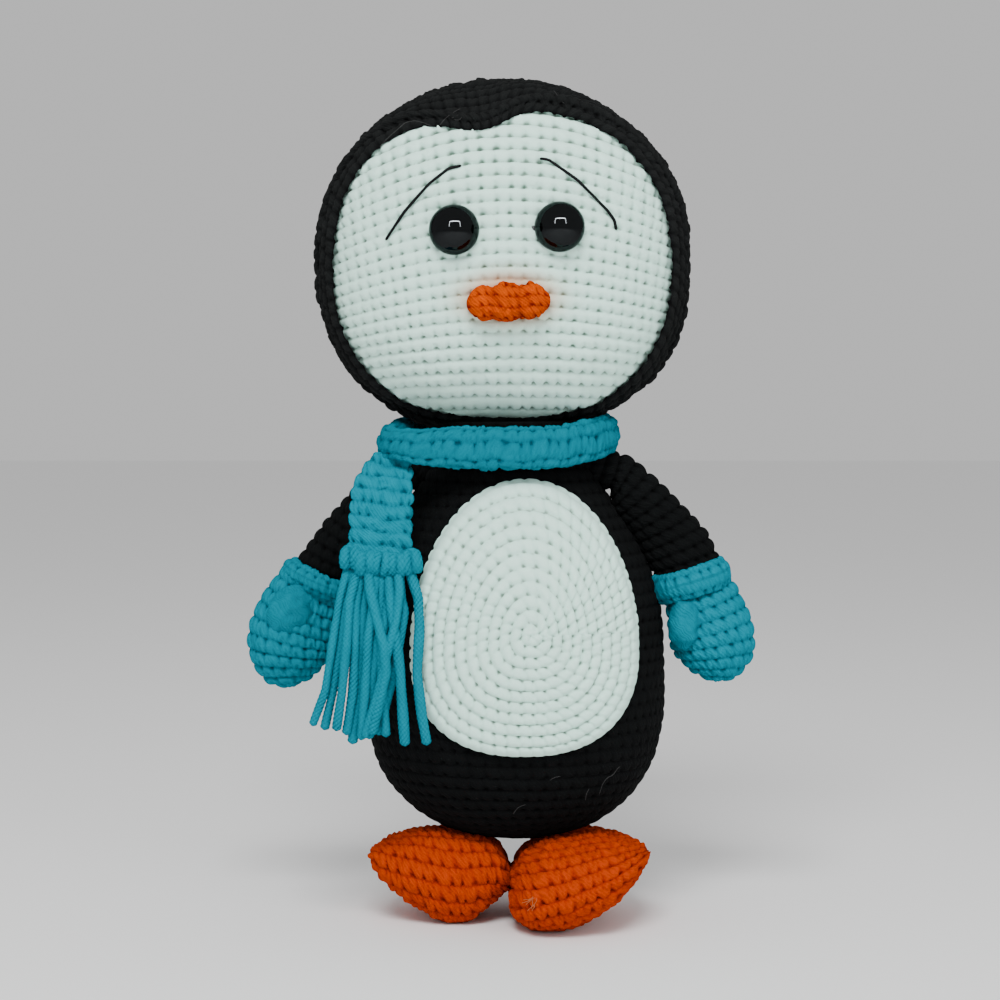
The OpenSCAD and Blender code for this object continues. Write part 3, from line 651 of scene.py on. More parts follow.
# ---------------------------------------------------------------- twisted yarn
def tube(paths, radius, plies=4, turn=7.0, amp=0.12, k=16, step=0.6, taper=0.0, flat=1.0, seed=0, ends=0.6, fuzz=0.04):
    """Points, triangles and cavity, painted as shade between the plies, of twisted yarns that follow the given paths
    (mm).
    """
    pts, tris, painted_light, uvs, base = [], [], [], [], 0
    for n, path in enumerate(paths):
        path = np.asarray(path, float)
        rad = radius[n] if hasattr(radius, "__len__") else radius
        seg = np.linalg.norm(np.diff(path, axis=0), axis=1)
        arc = np.concatenate([[0], np.cumsum(seg)])
        m = max(4, int(arc[-1] / step))
        t = np.linspace(0, arc[-1], m)
        c = np.stack([np.interp(t, arc, path[:, i]) for i in range(3)], 1)
        ker = np.array([1, 2, 3, 2, 1.0]) / 9
        if m > 8:
            pad = np.concatenate([c[:1] * 2 - c[2:0:-1], c, c[-1:] * 2 - c[-2:-4:-1]])
            c = np.stack([np.convolve(pad[:, i], ker, "valid") for i in range(3)], 1)
        tan = np.gradient(c, axis=0)
        tan /= np.linalg.norm(tan, axis=1, keepdims=True)
        ref = np.array([0.13, -1.0, 0.07])
        a = np.cross(tan, ref)
        bad = np.linalg.norm(a, axis=1) < 0.2
        a[bad] = np.cross(tan[bad], [1.0, 0, 0])
        a /= np.linalg.norm(a, axis=1, keepdims=True)
        b = np.cross(tan, a)
        q = np.arange(k) / k * 2 * np.pi
        ph = hash01(n, 5, seed) * 6.28
        lobes = np.cos(plies * (q[None, :] - 2 * np.pi * t[:, None] / turn) + ph)
        lob = 1 - amp + amp * np.abs(np.cos(plies / 2 * (q[None, :] - 2 * np.pi * t[:, None] / turn) + ph)) ** 0.7 * 2 - amp
        end = np.minimum(1, np.sqrt(np.clip(np.minimum(t, arc[-1] - t) / (rad * ends) + 0.08, 0, 1)))
        w = rad * end * (1 + 0.06 * np.sin(t / 3.1 + 6 * hash01(n, 2, seed)))
        rr = w[:, None] * lob
        p = c[:, None] + rr[..., None] * (np.cos(q)[None, :, None] * a[:, None] + np.sin(q)[None, :, None] * b[:, None] * flat)
        p = p.reshape(-1, 3)
        i, j = np.meshgrid(np.arange(m - 1), np.arange(k), indexing="ij")
        i, j = i.ravel(), j.ravel()
        j2 = (j + 1) % k
        q0, q1, q2, q3 = i * k + j, (i + 1) * k + j, (i + 1) * k + j2, i * k + j2
        tr = np.concatenate([np.stack([q0, q1, q2], 1), np.stack([q0, q2, q3], 1)])
        kk = np.arange(k)
        tr = np.concatenate([tr, np.stack([np.full(k, m * k), kk, (kk + 1) % k], 1), np.stack([np.full(k, m * k + 1), (m - 1) * k + (kk + 1) % k, (m - 1) * k + kk], 1)])
        p = np.concatenate([p, [c[0] - tan[0] * rad * 0.1], [c[-1] + tan[-1] * rad * 0.1]])
        vol = ((p[tr[:, 0]] - c[0]) * np.cross(p[tr[:, 1]] - c[0], p[tr[:, 2]] - c[0])).sum()
        if vol < 0:
            tr = tr[:, [0, 2, 1]]
        # painted shade in the grooves between plies, painted light on their crests
        cv = np.concatenate([np.clip((lob - (1 - 2 * amp)) / (2 * amp), 0, 1).ravel() * 0.8 + 0.2, [0.8, 0.8]])
        pts.append(p), tris.append(tr + base), painted_light.append(cv)
        base += len(p)
    return np.concatenate(pts), np.concatenate(tris), np.concatenate(painted_light)


def yarn_piece(name, paths, radius, mat, **kw):
    p, t, c = tube(paths, radius, **kw)
    return make_mesh(name, p, t, mat, {"painted_light": c, "sx": p[:, 0], "sy": p[:, 2]})


def on_face(x, z, out):
    x, z = np.asarray(x, float), np.asarray(z, float)
    return np.stack([x, OY + head_y(x, z) - out, z], -1)


def polyline(pts, n=60):
    pts = np.asarray(pts, float)
    arc = np.concatenate([[0], np.cumsum(np.linalg.norm(np.diff(pts, axis=0), axis=1))])
    t = np.linspace(0, arc[-1], n)
    return np.stack([np.interp(t, arc, pts[:, i]) for i in range(pts.shape[1])], 1)


lb = polyline([(-35.3, 217.6), (-29.5, 226.0), (-22.0, 234.4), (-15.7, 239.3), (-12.0, 240.0)])
rb = polyline([(12.4, 242.3), (15.0, 241.9), (24.0, 235.6), (33.2, 226.4), (35.3, 223.6), (35.9, 220.8)])
brow_obs = []
for name, line in (("left_brow_thread", lb), ("right_brow_thread", rb)):
    p = on_face(line[:, 0], line[:, 1], 1.5)
    p[0, 1] += 1.7
    p[-1, 1] += 1.7
    brow_obs.append(yarn_piece(name, [p], 0.5, THREAD, plies=3, turn=3.0, amp=0.12, k=10, step=0.4, ends=1.5))

# ---------------------------------------------------------------- body
BW, BF, BM, BLOW, NZ, NW = 49.2, 0.88, 72.0, 24.3, 160.4, 25.0


def body_x(z):
    return 5 - 2 * smooth((z - 100) / 50)


def body_half(z):
    s = (z - BM) / 88 / 0.97
    up = NW + (BW - NW) * np.where(s >= 1, 0, 0.5 * (1 + np.cos(np.pi * np.clip(s, 0, 1) ** 1.7)))
    dn = BW * np.maximum(0, 1 - (np.maximum(0, BM - z) / (BM - BLOW)) ** 2.3) ** (1 / 2.3)
    return np.where(z < BM, dn, up)


def body_y(x, z):
    w = body_half(z)
    q = np.clip((x - body_x(z)) / w, -1, 1)
    return -BF * w * np.sqrt(np.maximum(0, 1 - q * q))


def body_surf(u, v):
    # v 0..0.42 from the lowest point to the widest round, then up to the neck
    a = np.clip(v / 0.42, 0, 1) * np.pi / 2
    z = np.where(v < 0.42, BM - (BM - BLOW) * np.maximum(0, np.cos(a)) ** (2 / 2.3), BM + (161.6 - BM) * (v - 0.42) / 0.58)
    w = body_half(z)
    q = u * 2 * np.pi
    return np.stack([body_x(z) + w * np.cos(q), OY + BF * w * np.sin(q), z], -1)


body = Skin(body_surf, 0.74, v0=1e-6, v1=1.0, poles=(True, True))
s, r = body.rounds(4.4, 4.5, seed=51)
d, painted_light = relief(s, r, seed=52, amp=0.8, slant=0.2, cd=0.22, cw=0.13, ct=0.4, hole=0.6, leg=0.4, rand=0.25, post=0.25)
d = d + 0.3 * noise3(body.P, 12, 7)
body_ob = body.out("body_crochet", BLACK, d - 0.8, st=(s * 4.5, r * 4.4), attrs={"painted_light": painted_light})

# ---------------------------------------------------------------- belly patch
PC = (9.8, 95.6)  # where its rounds start


def egg_r(q):
    """Outline radius from PC, found on the egg that is centred at (7.8, 88.6)."""
    lo, hi = np.full(np.shape(q), 5.0), np.full(np.shape(q), 80.0)
    for _ in range(30):
        m = (lo + hi) / 2
        x, z = PC[0] + m * np.cos(q) - 7.8, PC[1] + m * np.sin(q) - 88.6
        e = np.where(z > 0, 2.0, 2.4)
        b = np.where(z > 0, 55.0, 32.0)
        big = (np.abs(x / 36.7) ** e + np.abs(z / b) ** e) > 1
        hi, lo = np.where(big, m, hi), np.where(big, lo, m)
    return lo


def patch_surf(u, v):
    q = u * 2 * np.pi
    R = egg_r(q)
    f = np.minimum(1, v) * 0.985
    turn = np.clip((v - 0.93) / 0.07, 0, 1)  # the edge rolls back onto the body
    x, z = PC[0] + R * f * np.cos(q), PC[1] + R * f * np.sin(q)
    off = 3.1 - 2.9 * turn ** 2.2
    return np.stack([x, OY + body_y(x, z) - off, z], -1)


patch = Skin(patch_surf, 0.5, v0=0.0, v1=1.0, poles=(True, False))
q = patch.U * 2 * np.pi
ROUNDS = 11
pr = patch.V * ROUNDS + 0.0
# a spiral: each round starts a little further out than the last ended
pr = pr - 0.35 * (patch.U - 0.75)
j = np.floor(pr).astype(int)
ps = np.zeros(len(pr))
for x in np.unique(j):
    us = np.linspace(0, 1, 97)
    per = np.linalg.norm(np.diff(patch_surf(us, np.full(97, np.clip((x + 0.5) / ROUNDS, 0, 0.95))), axis=0), axis=1).sum()
    n = max(6, int(round(per / 4.1)))
    ps[j == x] = patch.U[j == x] * n + 0.5 * (x % 2)
d, painted_light = relief(ps, pr, seed=61, amp=1.45, rp=2.1, rq=0.6, slant=-0.38, cw=0.15, cd=0.58, ct=0.6, hole=0.7, hw=0.14, hh=0.15, rand=0.25, post=0.08)
edge = smooth((patch.V - 0.90) / 0.06)
d = d * (1 - 0.55 * edge) + 0.35 * edge
# on the rolled edge the painted shade is lifted, so the edge reads lighter as painted light
painted_light = mix(painted_light, np.maximum(painted_light, 0.62), edge)
patch_ob = patch.out("belly_crochet", WHITE, d - 0.5, st=(ps * 4.1, pr * 3.7), attrs={"painted_light": painted_light, "beak_tint": np.zeros(len(d))})


# ---------------------------------------------------------------- loose hairs and a stub of thread
def X(px, y=-42):
    return (px - 500) * 0.3275 * (749 + y) / 750


def Z(py, y=-42):
    t = (py - 500) * 0.3275 / 750
    return 174.3 + (-math.sin(math.radians(3)) - t * math.cos(math.radians(3))) / (math.cos(math.radians(3)) - t * math.sin(math.radians(3))) * (749 + y)


def body_front(x, z):
    return float(body_y(np.array(float(x)), np.array(float(z))))


def hood_front(x, z):
    r, q = math.hypot(x - HX, z - HZ), np.array(math.atan2(z - HZ, x - HX))
    return -(HD + 0.7 + HT) * max(1e-4, 1 - min(0.995, r / float(sil(q, HA + 0.9 + HT, HH + 2.0))) ** 2.4) ** (1 / 2.4)


def hair(pts, depth, out):
    line = []
    for px, py in pts:
        y = -30.0
        for _ in range(6):
            x, z = X(px, y), Z(py, y)
            y = depth(x, z)
        line.append((x, OY + y - out, z))
    return polyline(line, 30)


hood_hairs = [hair(h, hood_front, 1.0) for h in (
    [(380, 148), (388, 139), (396, 132), (406, 123), (415, 121), (424, 123), (435, 128)],
    [(440, 126), (444, 121), (448, 117), (455, 112), (461, 109)], [(452, 119), (457, 115), (463, 116), (460, 121), (454, 120)], [(553, 91), (557, 96), (560, 101), (564, 104)])]
body_hairs = [hair(h, body_front, 0.9) for h in (
    [(600, 794), (603, 784), (608, 777), (614, 775), (618, 768), (621, 766)], [(586, 800), (587, 793), (590, 788)], [(513, 814), (518, 807), (526, 804)], [(550, 780), (555, 777), (561, 776)])]
hood_lint = yarn_piece("hood_lint", hood_hairs, 0.06, LINT, plies=2, turn=2.0, amp=0.05, k=6, step=0.5, ends=1.0)
body_lint = yarn_piece("body_lint", body_hairs, 0.06, LINT, plies=2, turn=2.0, amp=0.05, k=6, step=0.5, ends=1.0)
stub = yarn_piece("right_eye_stub", [np.array([(9.6, -41.0, 221.0), (10.6, -43.0, 220.9), (11.2, -43.4, 220.6), (12.2, -42.6, 220.5)]) + [0, OY, 0]], 1.0, GREY, plies=3, turn=3, amp=0.2, k=12, step=0.3)


# ---------------------------------------------------------------- scarf
def wrap_surf(u, v):
    q = (u % 1.0) * 2 * np.pi
    f = (0.5 - 0.5 * np.sin(q)) ** 1.4
    c, s = np.cos(q), np.sin(q)
    # where the hanging end comes off it, the band stands out over the shoulder
    lobe = np.exp(-(((np.degrees(q) - 214) / 25) ** 2))
    right = np.exp(-(((np.degrees(q) - 345) / 30) ** 2)) + np.exp(-(((np.degrees(q) + 15) / 30) ** 2))
    a = v * 2 * np.pi
    half = 3.9 + 3.1 * f - 1.1 * lobe + 0.8 * right
    rad = 4.3
    e = 0.85
    cr, cz = rad * spow(np.cos(a), e), -half * spow(np.sin(a), e)
    cr = cr - 0.18 * cz * f
    x = 2 + 32.3 * spow(c, 0.88) + (cr + 9.6 * lobe) * c + 0.6 * right
    y = 30 * spow(s, 0.88) + (cr + 16.0 * lobe) * s
    z = 159.9 - 7.1 * f - 0.9 * lobe + 0.7 * right + cz
    return np.stack([x, OY + y, z], -1)


L = path_len(wrap_surf, 0.0)
U, V, P, N, T, UV, TU, TV = torus_grid(wrap_surf, int(L / 0.55), 72)
n_st = int(round(L / 4.4))
wr = ((V + 0.5) % 1.0 - 0.5) * 7.4 + 50.35
wr = wr + 0.10 * np.sin(U * n_st * 1.9) + 0.08 * noise3(P, 9, 10)
d, painted_light = relief(U * n_st, wr, seed=71, **dict(SOFT, amp=1.0, rand=0.5, wob=0.2))
d = d + 0.6 * noise3(P, 2.6, 8)
wrap_ob = make_mesh("scarf_wrap_crochet", P + N * (d - 1.0)[:, None], T, TEAL, {"painted_light": painted_light, "sx": U * L, "sy": wr * 4.6}, UV)


def tail_y(z):
    return np.where(z > 118, -30 - 4 * (149 - z) / 31, -34 - 8 * smooth((118 - z) / 28))


def tail_surf(u, v):
    z = mix(151.5, 117.2, v)
    xc = np.interp(z, [117, 130, 140, 145, 149, 152], [-37.6, -37.5, -36.9, -36.0, -34.8, -33.2])
    w = np.interp(z, [117, 140, 145, 149, 152], [9.9, 9.5, 8.5, 6.8, 5.0])
    th = 2.3
    a = u * 2 * np.pi
    e = 0.75
    back = 4.0 * smooth((z - 143) / 8)  # the top end goes in under the wrap
    return np.stack([xc + w * spow(np.cos(a), e), OY + tail_y(z) + back + th * spow(np.sin(a), e), z], -1)


tail = Skin(tail_surf, 0.5, poles=(True, True))
ts, tr_ = (tail.P[:, 0] + 37) / 4.2 + 40.5 + 0.4 * np.sin(tail.P[:, 2] / 5), (tail.P[:, 2] + 1.3 * noise3(tail.P, 7, 19) + 0.10 * tail.P[:, 0]) / 4.4
ts = np.where(tail.N[:, 1] > 0, ts + 13.37, ts)
d, painted_light = relief(ts, tr_, seed=81, **dict(SOFT, amp=1.05, rand=0.6, wob=0.3, slant=0.35, cd=0.45))
d = d + 0.55 * noise3(tail.P, 2.6, 9)
tail_ob = tail.out("scarf_tail_crochet", TEAL_L, d - 0.8, st=(ts * 4.2, tr_ * 4.5), attrs={"painted_light": painted_light})

rng = np.random.default_rng(5)
knots, krad = [], []
for i in range(5):
    # each tie is a loop drawn tight: two fat legs that close up below, with the pull behind them
    cx, cz = -47.0 + 4.85 * i + rng.uniform(-0.3, 0.3), 117.9 - 0.25 * i + rng.uniform(-0.7, 0.7)
    ky = float(tail_y(cz))
    lean = rng.uniform(-0.8, 1.0)
    fat = rng.uniform(1.75, 2.15)
    for sgn in (-1, 1):
        t = np.linspace(0, 1, 12)
        x = cx + sgn * (0.7 + 0.95 * np.sin(np.pi * (0.15 + 0.7 * (1 - t)))) + lean * (0.5 - t) * 1.5
        z = cz + 3.4 - (6.6 + rng.uniform(-0.6, 0.8)) * t
        y = ky - 1.0 - 1.8 * np.sin(np.pi * t) - rng.uniform(0, 0.5)
        knots.append(np.stack([x, OY + y, z], 1))
        krad.append(fat + rng.uniform(-0.15, 0.15))
    t = np.linspace(0, 1, 14)
    knots.append(np.stack([cx - 2.2 + 4.4 * t, OY + ky - 0.2 - 1.2 * np.sin(np.pi * t), cz + 2.2 + 1.3 * np.sin(np.pi * t)], 1))
    krad.append(1.3)
knots_ob = yarn_piece("fringe_knots", knots, krad, TEAL_L, plies=6, turn=9, amp=0.10, k=20, step=0.45, seed=3)

strands = []
srad = []


def fringe(xs, zs, dy, rad=1.55):
    t = np.linspace(0, 1, 50)
    n = len(xs)
    tt = np.linspace(0, 1, n)
    x = np.interp(t, tt, xs)
    z = np.interp(t, tt, zs)
    y = tail_y(z) + np.interp(t, [0, 0.15, 1], [0.0, 1.0, 1.0]) * dy
    strands.append(np.stack([x, OY + y, z], 1))
    srad.append(rad)


front_px = [
    ([(347, 566), (339, 600), (333, 640), (325, 690), (312, 724)], -1.0, 1.35),
    ([(351, 568), (344, 610), (340, 650), (333, 690), (324, 728)], 0.6, 1.45),
    ([(357, 568), (349, 600), (347, 640), (342, 690), (336, 729)], -2.4, 1.5),
    ([(361, 567), (355, 610), (355, 650), (353, 690), (346, 733)], -0.3, 1.6),
    ([(366, 566), (369, 590), (375, 613), (384, 645), (386, 672), (378, 705), (371, 733)], -3.4, 1.7),
    ([(370, 566), (363, 600), (361, 650), (358, 700), (352, 742)], 1.2, 1.6),
    ([(374, 568), (372, 610), (368, 640), (365, 690), (361, 738)], -1.6, 1.6),
    ([(381, 570), (380, 610), (375, 650), (370, 700), (369, 737)], 0.2, 1.6),
    ([(387, 570), (391, 613), (397, 643), (400, 672), (403, 716), (405, 744)], -2.0, 1.7),
    ([(392, 569), (386, 610), (380, 650), (383, 690), (386, 735)], -0.4, 1.55),
    ([(399, 570), (401, 600), (404, 612), (400, 640), (392, 680), (378, 733)], 0.8, 1.5),
    ([(408, 570), (418, 599), (419.5, 628), (417, 672), (422, 716), (427, 743)], -1.0, 1.65),
    ([(396, 569), (399, 590), (396, 620), (385, 660), (376, 700), (364, 736)], -2.9, 1.5),
]
for line, dy, rad in front_px:
    px, py = np.array(line, float).T
    y0 = -38 + dy
    fringe([X(a, y0) for a in px], [Z(b, y0) for b in py], dy, rad)
strands_ob = yarn_piece("fringe_strands", strands, srad, TEAL_L, plies=6, turn=9.0, amp=0.10, k=18, step=0.5, seed=4, ends=0.5)

# ---------------------------------------------------------------- arms
AY = -3.0
SLEEVE = {1: [[39.8, 144.4], [50, 141], [59.6, 124], [64, 107.4]], -1: [[-35.2, 144.8], [-44, 139.5], [-54.5, 124], [-61.2, 108.5]]}
HAND = {1: [[63.4, 108.6], [67.4, 98], [71.8, 88], [71, 75.6]], -1: [[-59.6, 108.6], [-65.0, 99.6], [-71.0, 88], [-69.0, 73.9]]}


def sleeve_surf(side):
    p = np.array(SLEEVE[side], float)
    d0 = bez_dir(p, 0.0)

    def surf(u, v):
        # v below 0.12 is the root, which runs on into the shoulder
        t = np.clip((v - 0.14) / 0.86, 0, 1)
        back = np.clip(0.14 - v, 0, 1) * 95
        c = bez(p, t) - d0 * back[..., None]
        d = bez_dir(p, t)
        # it lies in against the body, and is fullest half way down
        k = [0, 0.25, 0.5, 0.75, 1]
        if side > 0:
            inward, down, more = [1.6, 5.2, 4.3, 2.0, 0.4], [0.4, 1.0, 0.8, 0.2, 0], [0.9, 1.4, 1.7, 2.5, 1.0]
        else:
            inward, down, more = [2.2, 5.4, 5.0, 3.0, 0.8], [1.2, 2.6, 1.9, 1.0, 0], [1.4, 2.9, 2.0, 1.1, 0.2]
        c = c - np.stack([side * np.interp(t, k, inward), np.interp(t, k, down)], -1)
        a = 5.4 + ((9.6 if side > 0 else 9.0) - 5.4) * t ** 0.6 + np.interp(t, k, more)
        b = 6.6 + 2.2 * t
        a, b = a * (1 + 0.02 * back), b * (1 + 0.005 * back)
        q = u * 2 * np.pi
        x = c[..., 0] - d[..., 1] * a * np.cos(q)
        z = c[..., 1] + d[..., 0] * a * np.cos(q)
        return np.stack([x, OY + AY - b * np.sin(q), z], -1)

    return surf


def hand_half(side, t):
    w = (13.9 + (0 if side > 0 else 0.8)) * (0.80 + 0.20 * np.sin(np.pi / 2 * np.minimum(1, t / 0.6)))
    return w * np.where(t < 0.5, 1, np.maximum(0, 1 - (np.clip(t - 0.5, 0, 1) / 0.5) ** 2.3) ** 0.5)


def hand_surf(side):
    p = np.array(HAND[side], float)

    def surf(u, v):
        t = np.where(v < 0.5, v, 0.5 + 0.5 * np.sin(np.clip((v - 0.5) / 0.5, 0, 1) * np.pi / 2) ** 0.9)
        c, d = bez(p, t), bez_dir(p, t)
        a = hand_half(side, t)
        q = u * 2 * np.pi
        return np.stack([c[..., 0] - d[..., 1] * a * np.cos(q), OY + AY - a * 0.84 * np.sin(q), c[..., 1] + d[..., 0] * a * np.cos(q)], -1)

    return surf


def cuff_surf(side):
    p = np.array(SLEEVE[side], float)
    t0 = 0.955 if side > 0 else 0.95
    c, d = bez(p, t0), bez_dir(p, 0.95)
    a0, b0 = (10.8, 10.6) if side > 0 else (10.1, 10.6)
    c = c + np.array([-1.3, -0.6] if side > 0 else [1.7, -2.2])

    def surf(u, v):
        q, w = u * 2 * np.pi, v * 2 * np.pi
        rad = 2.7
        rr = rad * spow(np.cos(w), 0.9)
        aa = (3.3 if side < 0 else 4.6) * spow(np.sin(w), 0.9)
        x = c[0] - d[1] * (a0 + rr) * np.cos(q) + d[0] * aa
        z = c[1] + d[0] * (a0 + rr) * np.cos(q) + d[1] * aa
        return np.stack([x, OY + AY - (b0 + rr) * np.sin(q), z], -1)

    return surf


arm_obs = {}
for side, nm in ((-1, "left"), (1, "right")):
    sl = Skin(sleeve_surf(side), 0.6, poles=(True, True))
    s, r = sl.rounds(4.2, 4.1, seed=91 + side)
    d, painted_light = relief(s, r, seed=92 + side, amp=1.15, slant=0.3, cd=0.3, cw=0.15, ct=0.5, hole=0.7, leg=0.5, rand=0.3, rq=0.75)
    ob = sl.out(nm + "_sleeve_crochet", BLACK, d - 1.0, st=(s * 4.1, r * 4.2), attrs={"painted_light": painted_light})
    hd = Skin(hand_surf(side), 0.45, poles=(True, True))
    s, r = hd.rounds(4.35, 4.3, seed=95 + side)
    d, painted_light = relief(s, r, seed=96 + side, **SOFT)
    d = d + 0.4 * noise3(hd.P, 2.6, 12 + side)
    mo = hd.out(nm + "_mitten_crochet", TEAL_L, d - 1.0, st=(s * 4.3, r * 4.35), attrs={"painted_light": painted_light})
    cs = cuff_surf(side)
    L = path_len(cs, 0.0)
    U, V, P, N, T, UV, TU, TV = torus_grid(cs, int(L / 0.5), 36)
    d, painted_light = relief(U * round(L / 4.4), ((V + 0.5) % 1 - 0.5) * 4 + 20.5, seed=98 + side, **dict(SOFT, amp=1.0))
    d = d + 0.35 * noise3(P, 2.6, 22)
    cu = make_mesh(nm + "_cuff_crochet", P + N * (d - 0.6)[:, None], T, TEAL_L, {"painted_light": painted_light, "sx": U * L, "sy": V * 18}, UV)
    arm_obs[side] = (ob, mo, cu)


def thumb_surf(c, tilt, a, h, dep):
    d = np.array([math.sin(math.radians(tilt)), 0, math.cos(math.radians(tilt))])
    w = np.array([math.cos(math.radians(tilt)), 0, -math.sin(math.radians(tilt))])
    c = np.array(c, float) + [0, OY, 0]

    def surf(u, v):
        q, e = u * 2 * np.pi, v * np.pi
        return c + np.multiply.outer(h * np.cos(e), d) + np.multiply.outer(a * np.sin(e) * np.cos(q), w) + np.multiply.outer(dep * np.sin(e) * np.sin(q), np.array([0, 1.0, 0]))

    return surf


thumb_obs = {}
for side, args in ((-1, ((-67.6, -12.0, 100.2), 34, 7.0, 9.2, 5.0)), (1, ((59.6, -11.4, 95.6), 4, 5.2, 8.2, 5.2))):
    th = Skin(thumb_surf(*args), 0.35)
    (c, tilt, a, h, dep) = args
    rel = th.P - (np.array(c) + [0, OY, 0])
    ang = math.radians(40 if side < 0 else 55)
    stripe = (rel[:, 0] * math.cos(ang) + rel[:, 2] * math.sin(ang)) / 1.55
    wv = 0.06 * np.abs(np.cos(np.pi * stripe + 3.2 * noise3(th.P, 2.6, 30)))
    coarse = 0.6 * noise3(th.P, 2.6, 31)
    # painted light from the thumb's own bumps: raised ply and lumps lighter, hollows darker as painted shade
    thumb_obs[side] = th.out(("left" if side < 0 else "right") + "_thumb_crochet", TEAL_L, wv + coarse, st=(rel[:, 0] + 1.6 * noise3(th.P, 2.4, 33), rel[:, 2]), attrs={"painted_light": np.clip(0.58 + wv * 1.5 + coarse * 0.4, 0, 1)})

# ---------------------------------------------------------------- feet
LT = ([-1, -0.95, -0.8, -0.6, -0.3, 0, 0.3, 0.5, 0.8, 1], [13, 17, 23, 26.8, 28.4, 28.8, 28.4, 27.2, 24.6, 22.0])
LB = ([-1, -0.9, -0.75, -0.6, -0.35, -0.1, 0.1, 0.3, 0.5, 0.65, 0.85, 1], [11, 9, 6, 2.8, -1.0, -1.5, 0.5, 3.0, 6.2, 9.0, 13.5, 18.5])
RT = ([-1, -0.95, -0.8, -0.5, -0.2, 0, 0.25, 0.6, 0.85, 1], [13, 17.5, 23.3, 27, 28.0, 28.6, 28.6, 26.6, 24.2, 22.0])
RB = ([-1, -0.9, -0.7, -0.5, -0.3, -0.1, 0.2, 0.5, 0.75, 0.9, 1], [6, 2, -1, -1.5, -1.5, -0.5, 2.5, 6.7, 13, 17.5, 21])
foot_obs = {}


def foot_surf(side):
    t, b = (RT, RB) if side > 0 else (LT, LB)
    fx, fu = (25.6, 23.0) if side > 0 else (-19.0, 23.6)
    ahead = 28.5 if side > 0 else 14.5

    def surf(u, v):
        q = -np.cos(np.pi * v)
        top, bot = np.interp(q, *t), np.interp(q, *b)
        zc, hh = (top + bot) / 2, (top - bot) / 2
        inner = q < 0  # the end next to the other foot is blunter
        s = np.maximum(0, 1 - np.abs(q) ** np.where(inner, 3.6, 2.4)) ** np.where(inner, 0.45, 0.52)
        w = u * 2 * np.pi
        c, sn = np.cos(w), np.sin(w)
        e = np.where((c > 0) & (sn < 0), 2 / 3.2, 2 / 2.2)
        hq = hh * np.minimum(1, s * 3.0)
        z = np.maximum(0.0, zc + hq * spow(sn, e))
        # front is where the cosine is negative
        y = -14 + np.where(c > 0, 32 * s, ahead * s) * spow(c, e) - (6.5 * (0.55 - 0.45 * q) if side > 0 else 0) * np.where(c > 0, 0.3, 1.0)
        return np.stack([fx + side * q * fu, OY + y, z], -1)

    return surf


for side, nm in ((-1, "left"), (1, "right")):
    ft = Skin(foot_surf(side), 0.5)
    x, z = ft.P[:, 0], ft.P[:, 2]
    # distance up the skin from the middle of the front, section by section
    up = np.zeros(len(x))
    start = np.concatenate([[0], np.cumsum(ft.cnt)])
    for n, c in enumerate(ft.cnt):
        p = ft.P[start[n]:start[n + 1]]
        arc = np.concatenate([[0], np.cumsum(np.linalg.norm(np.diff(np.concatenate([p, p[:1]]), axis=0), axis=1))])
        mid = np.interp(0.5, np.arange(c + 1) / c, arc)
        up[start[n]:start[n + 1]] = mid - arc[:-1]
    if side < 0:
        fr_ = (up + 0.03 * (x + 19) + 0.003 * (x + 19) ** 2) / 5.9
    else:
        k = np.interp(up, [-14, 0, 14], [0.30, 0.18, 0.05])
        fr_ = (up - k * (x - 20)) / 5.6
    fs_ = x / 4.15 + 0.5 * (np.floor(fr_) % 2) + 0.25 * noise3(ft.P, 8, 44)
    d, painted_light = relief(fs_ + 50, fr_ + 20, seed=101 + side, **dict(SOFT, slant=0.3, amp=0.95, cd=0.62, cw=0.13, hole=0.95, leg=1.0, rand=0.5))
    d = d + 0.5 * noise3(ft.P, 2.2, 40 + side)
    flat = smooth(z / 1.2)
    ob = ft.out(nm + "_foot_crochet", ORANGE, (d - 0.8) * flat, st=(fs_ * 4.15, fr_ * 5.7), attrs={"painted_light": painted_light})
    co = np.zeros(len(ob.data.vertices) * 3, np.float32)
    ob.data.vertices.foreach_get("co", co)
    co = co.reshape(-1, 3)
    co[:, 2] = np.maximum(co[:, 2], 0)
    ob.data.vertices.foreach_set("co", co.ravel())
    foot_obs[side] = ob

rf = ft.P  # the last foot made is the right one
tuft = []
for i in range(9):
    ang, n = rng.uniform(0.3, 2.4), rng.uniform(1.6, 3.4)
    x0, z0 = 9.4 + rng.uniform(-1.6, 1.6), 11.4 + rng.uniform(-1.8, 1.8)
    t = np.linspace(-0.5, 0.5, 7)
    px_, pz_ = x0 + n * t * math.cos(ang) + 0.5 * np.sin(4 * t), z0 + n * t * math.sin(ang)
    py_ = np.array([rf[np.argsort((rf[:, 0] - p) ** 2 + (rf[:, 2] - r_) ** 2 + 0.02 * (rf[:, 1] + 46) ** 2)[:6], 1].min() for p, r_ in zip(px_, pz_)])
    tuft.append(polyline(np.stack([px_, py_ - 0.35, pz_], 1), 12))
tuft_ob = yarn_piece("foot_lint", tuft, 0.10, TUFT, plies=2, turn=2.0, amp=0.03, k=6, step=0.4, ends=1.0)

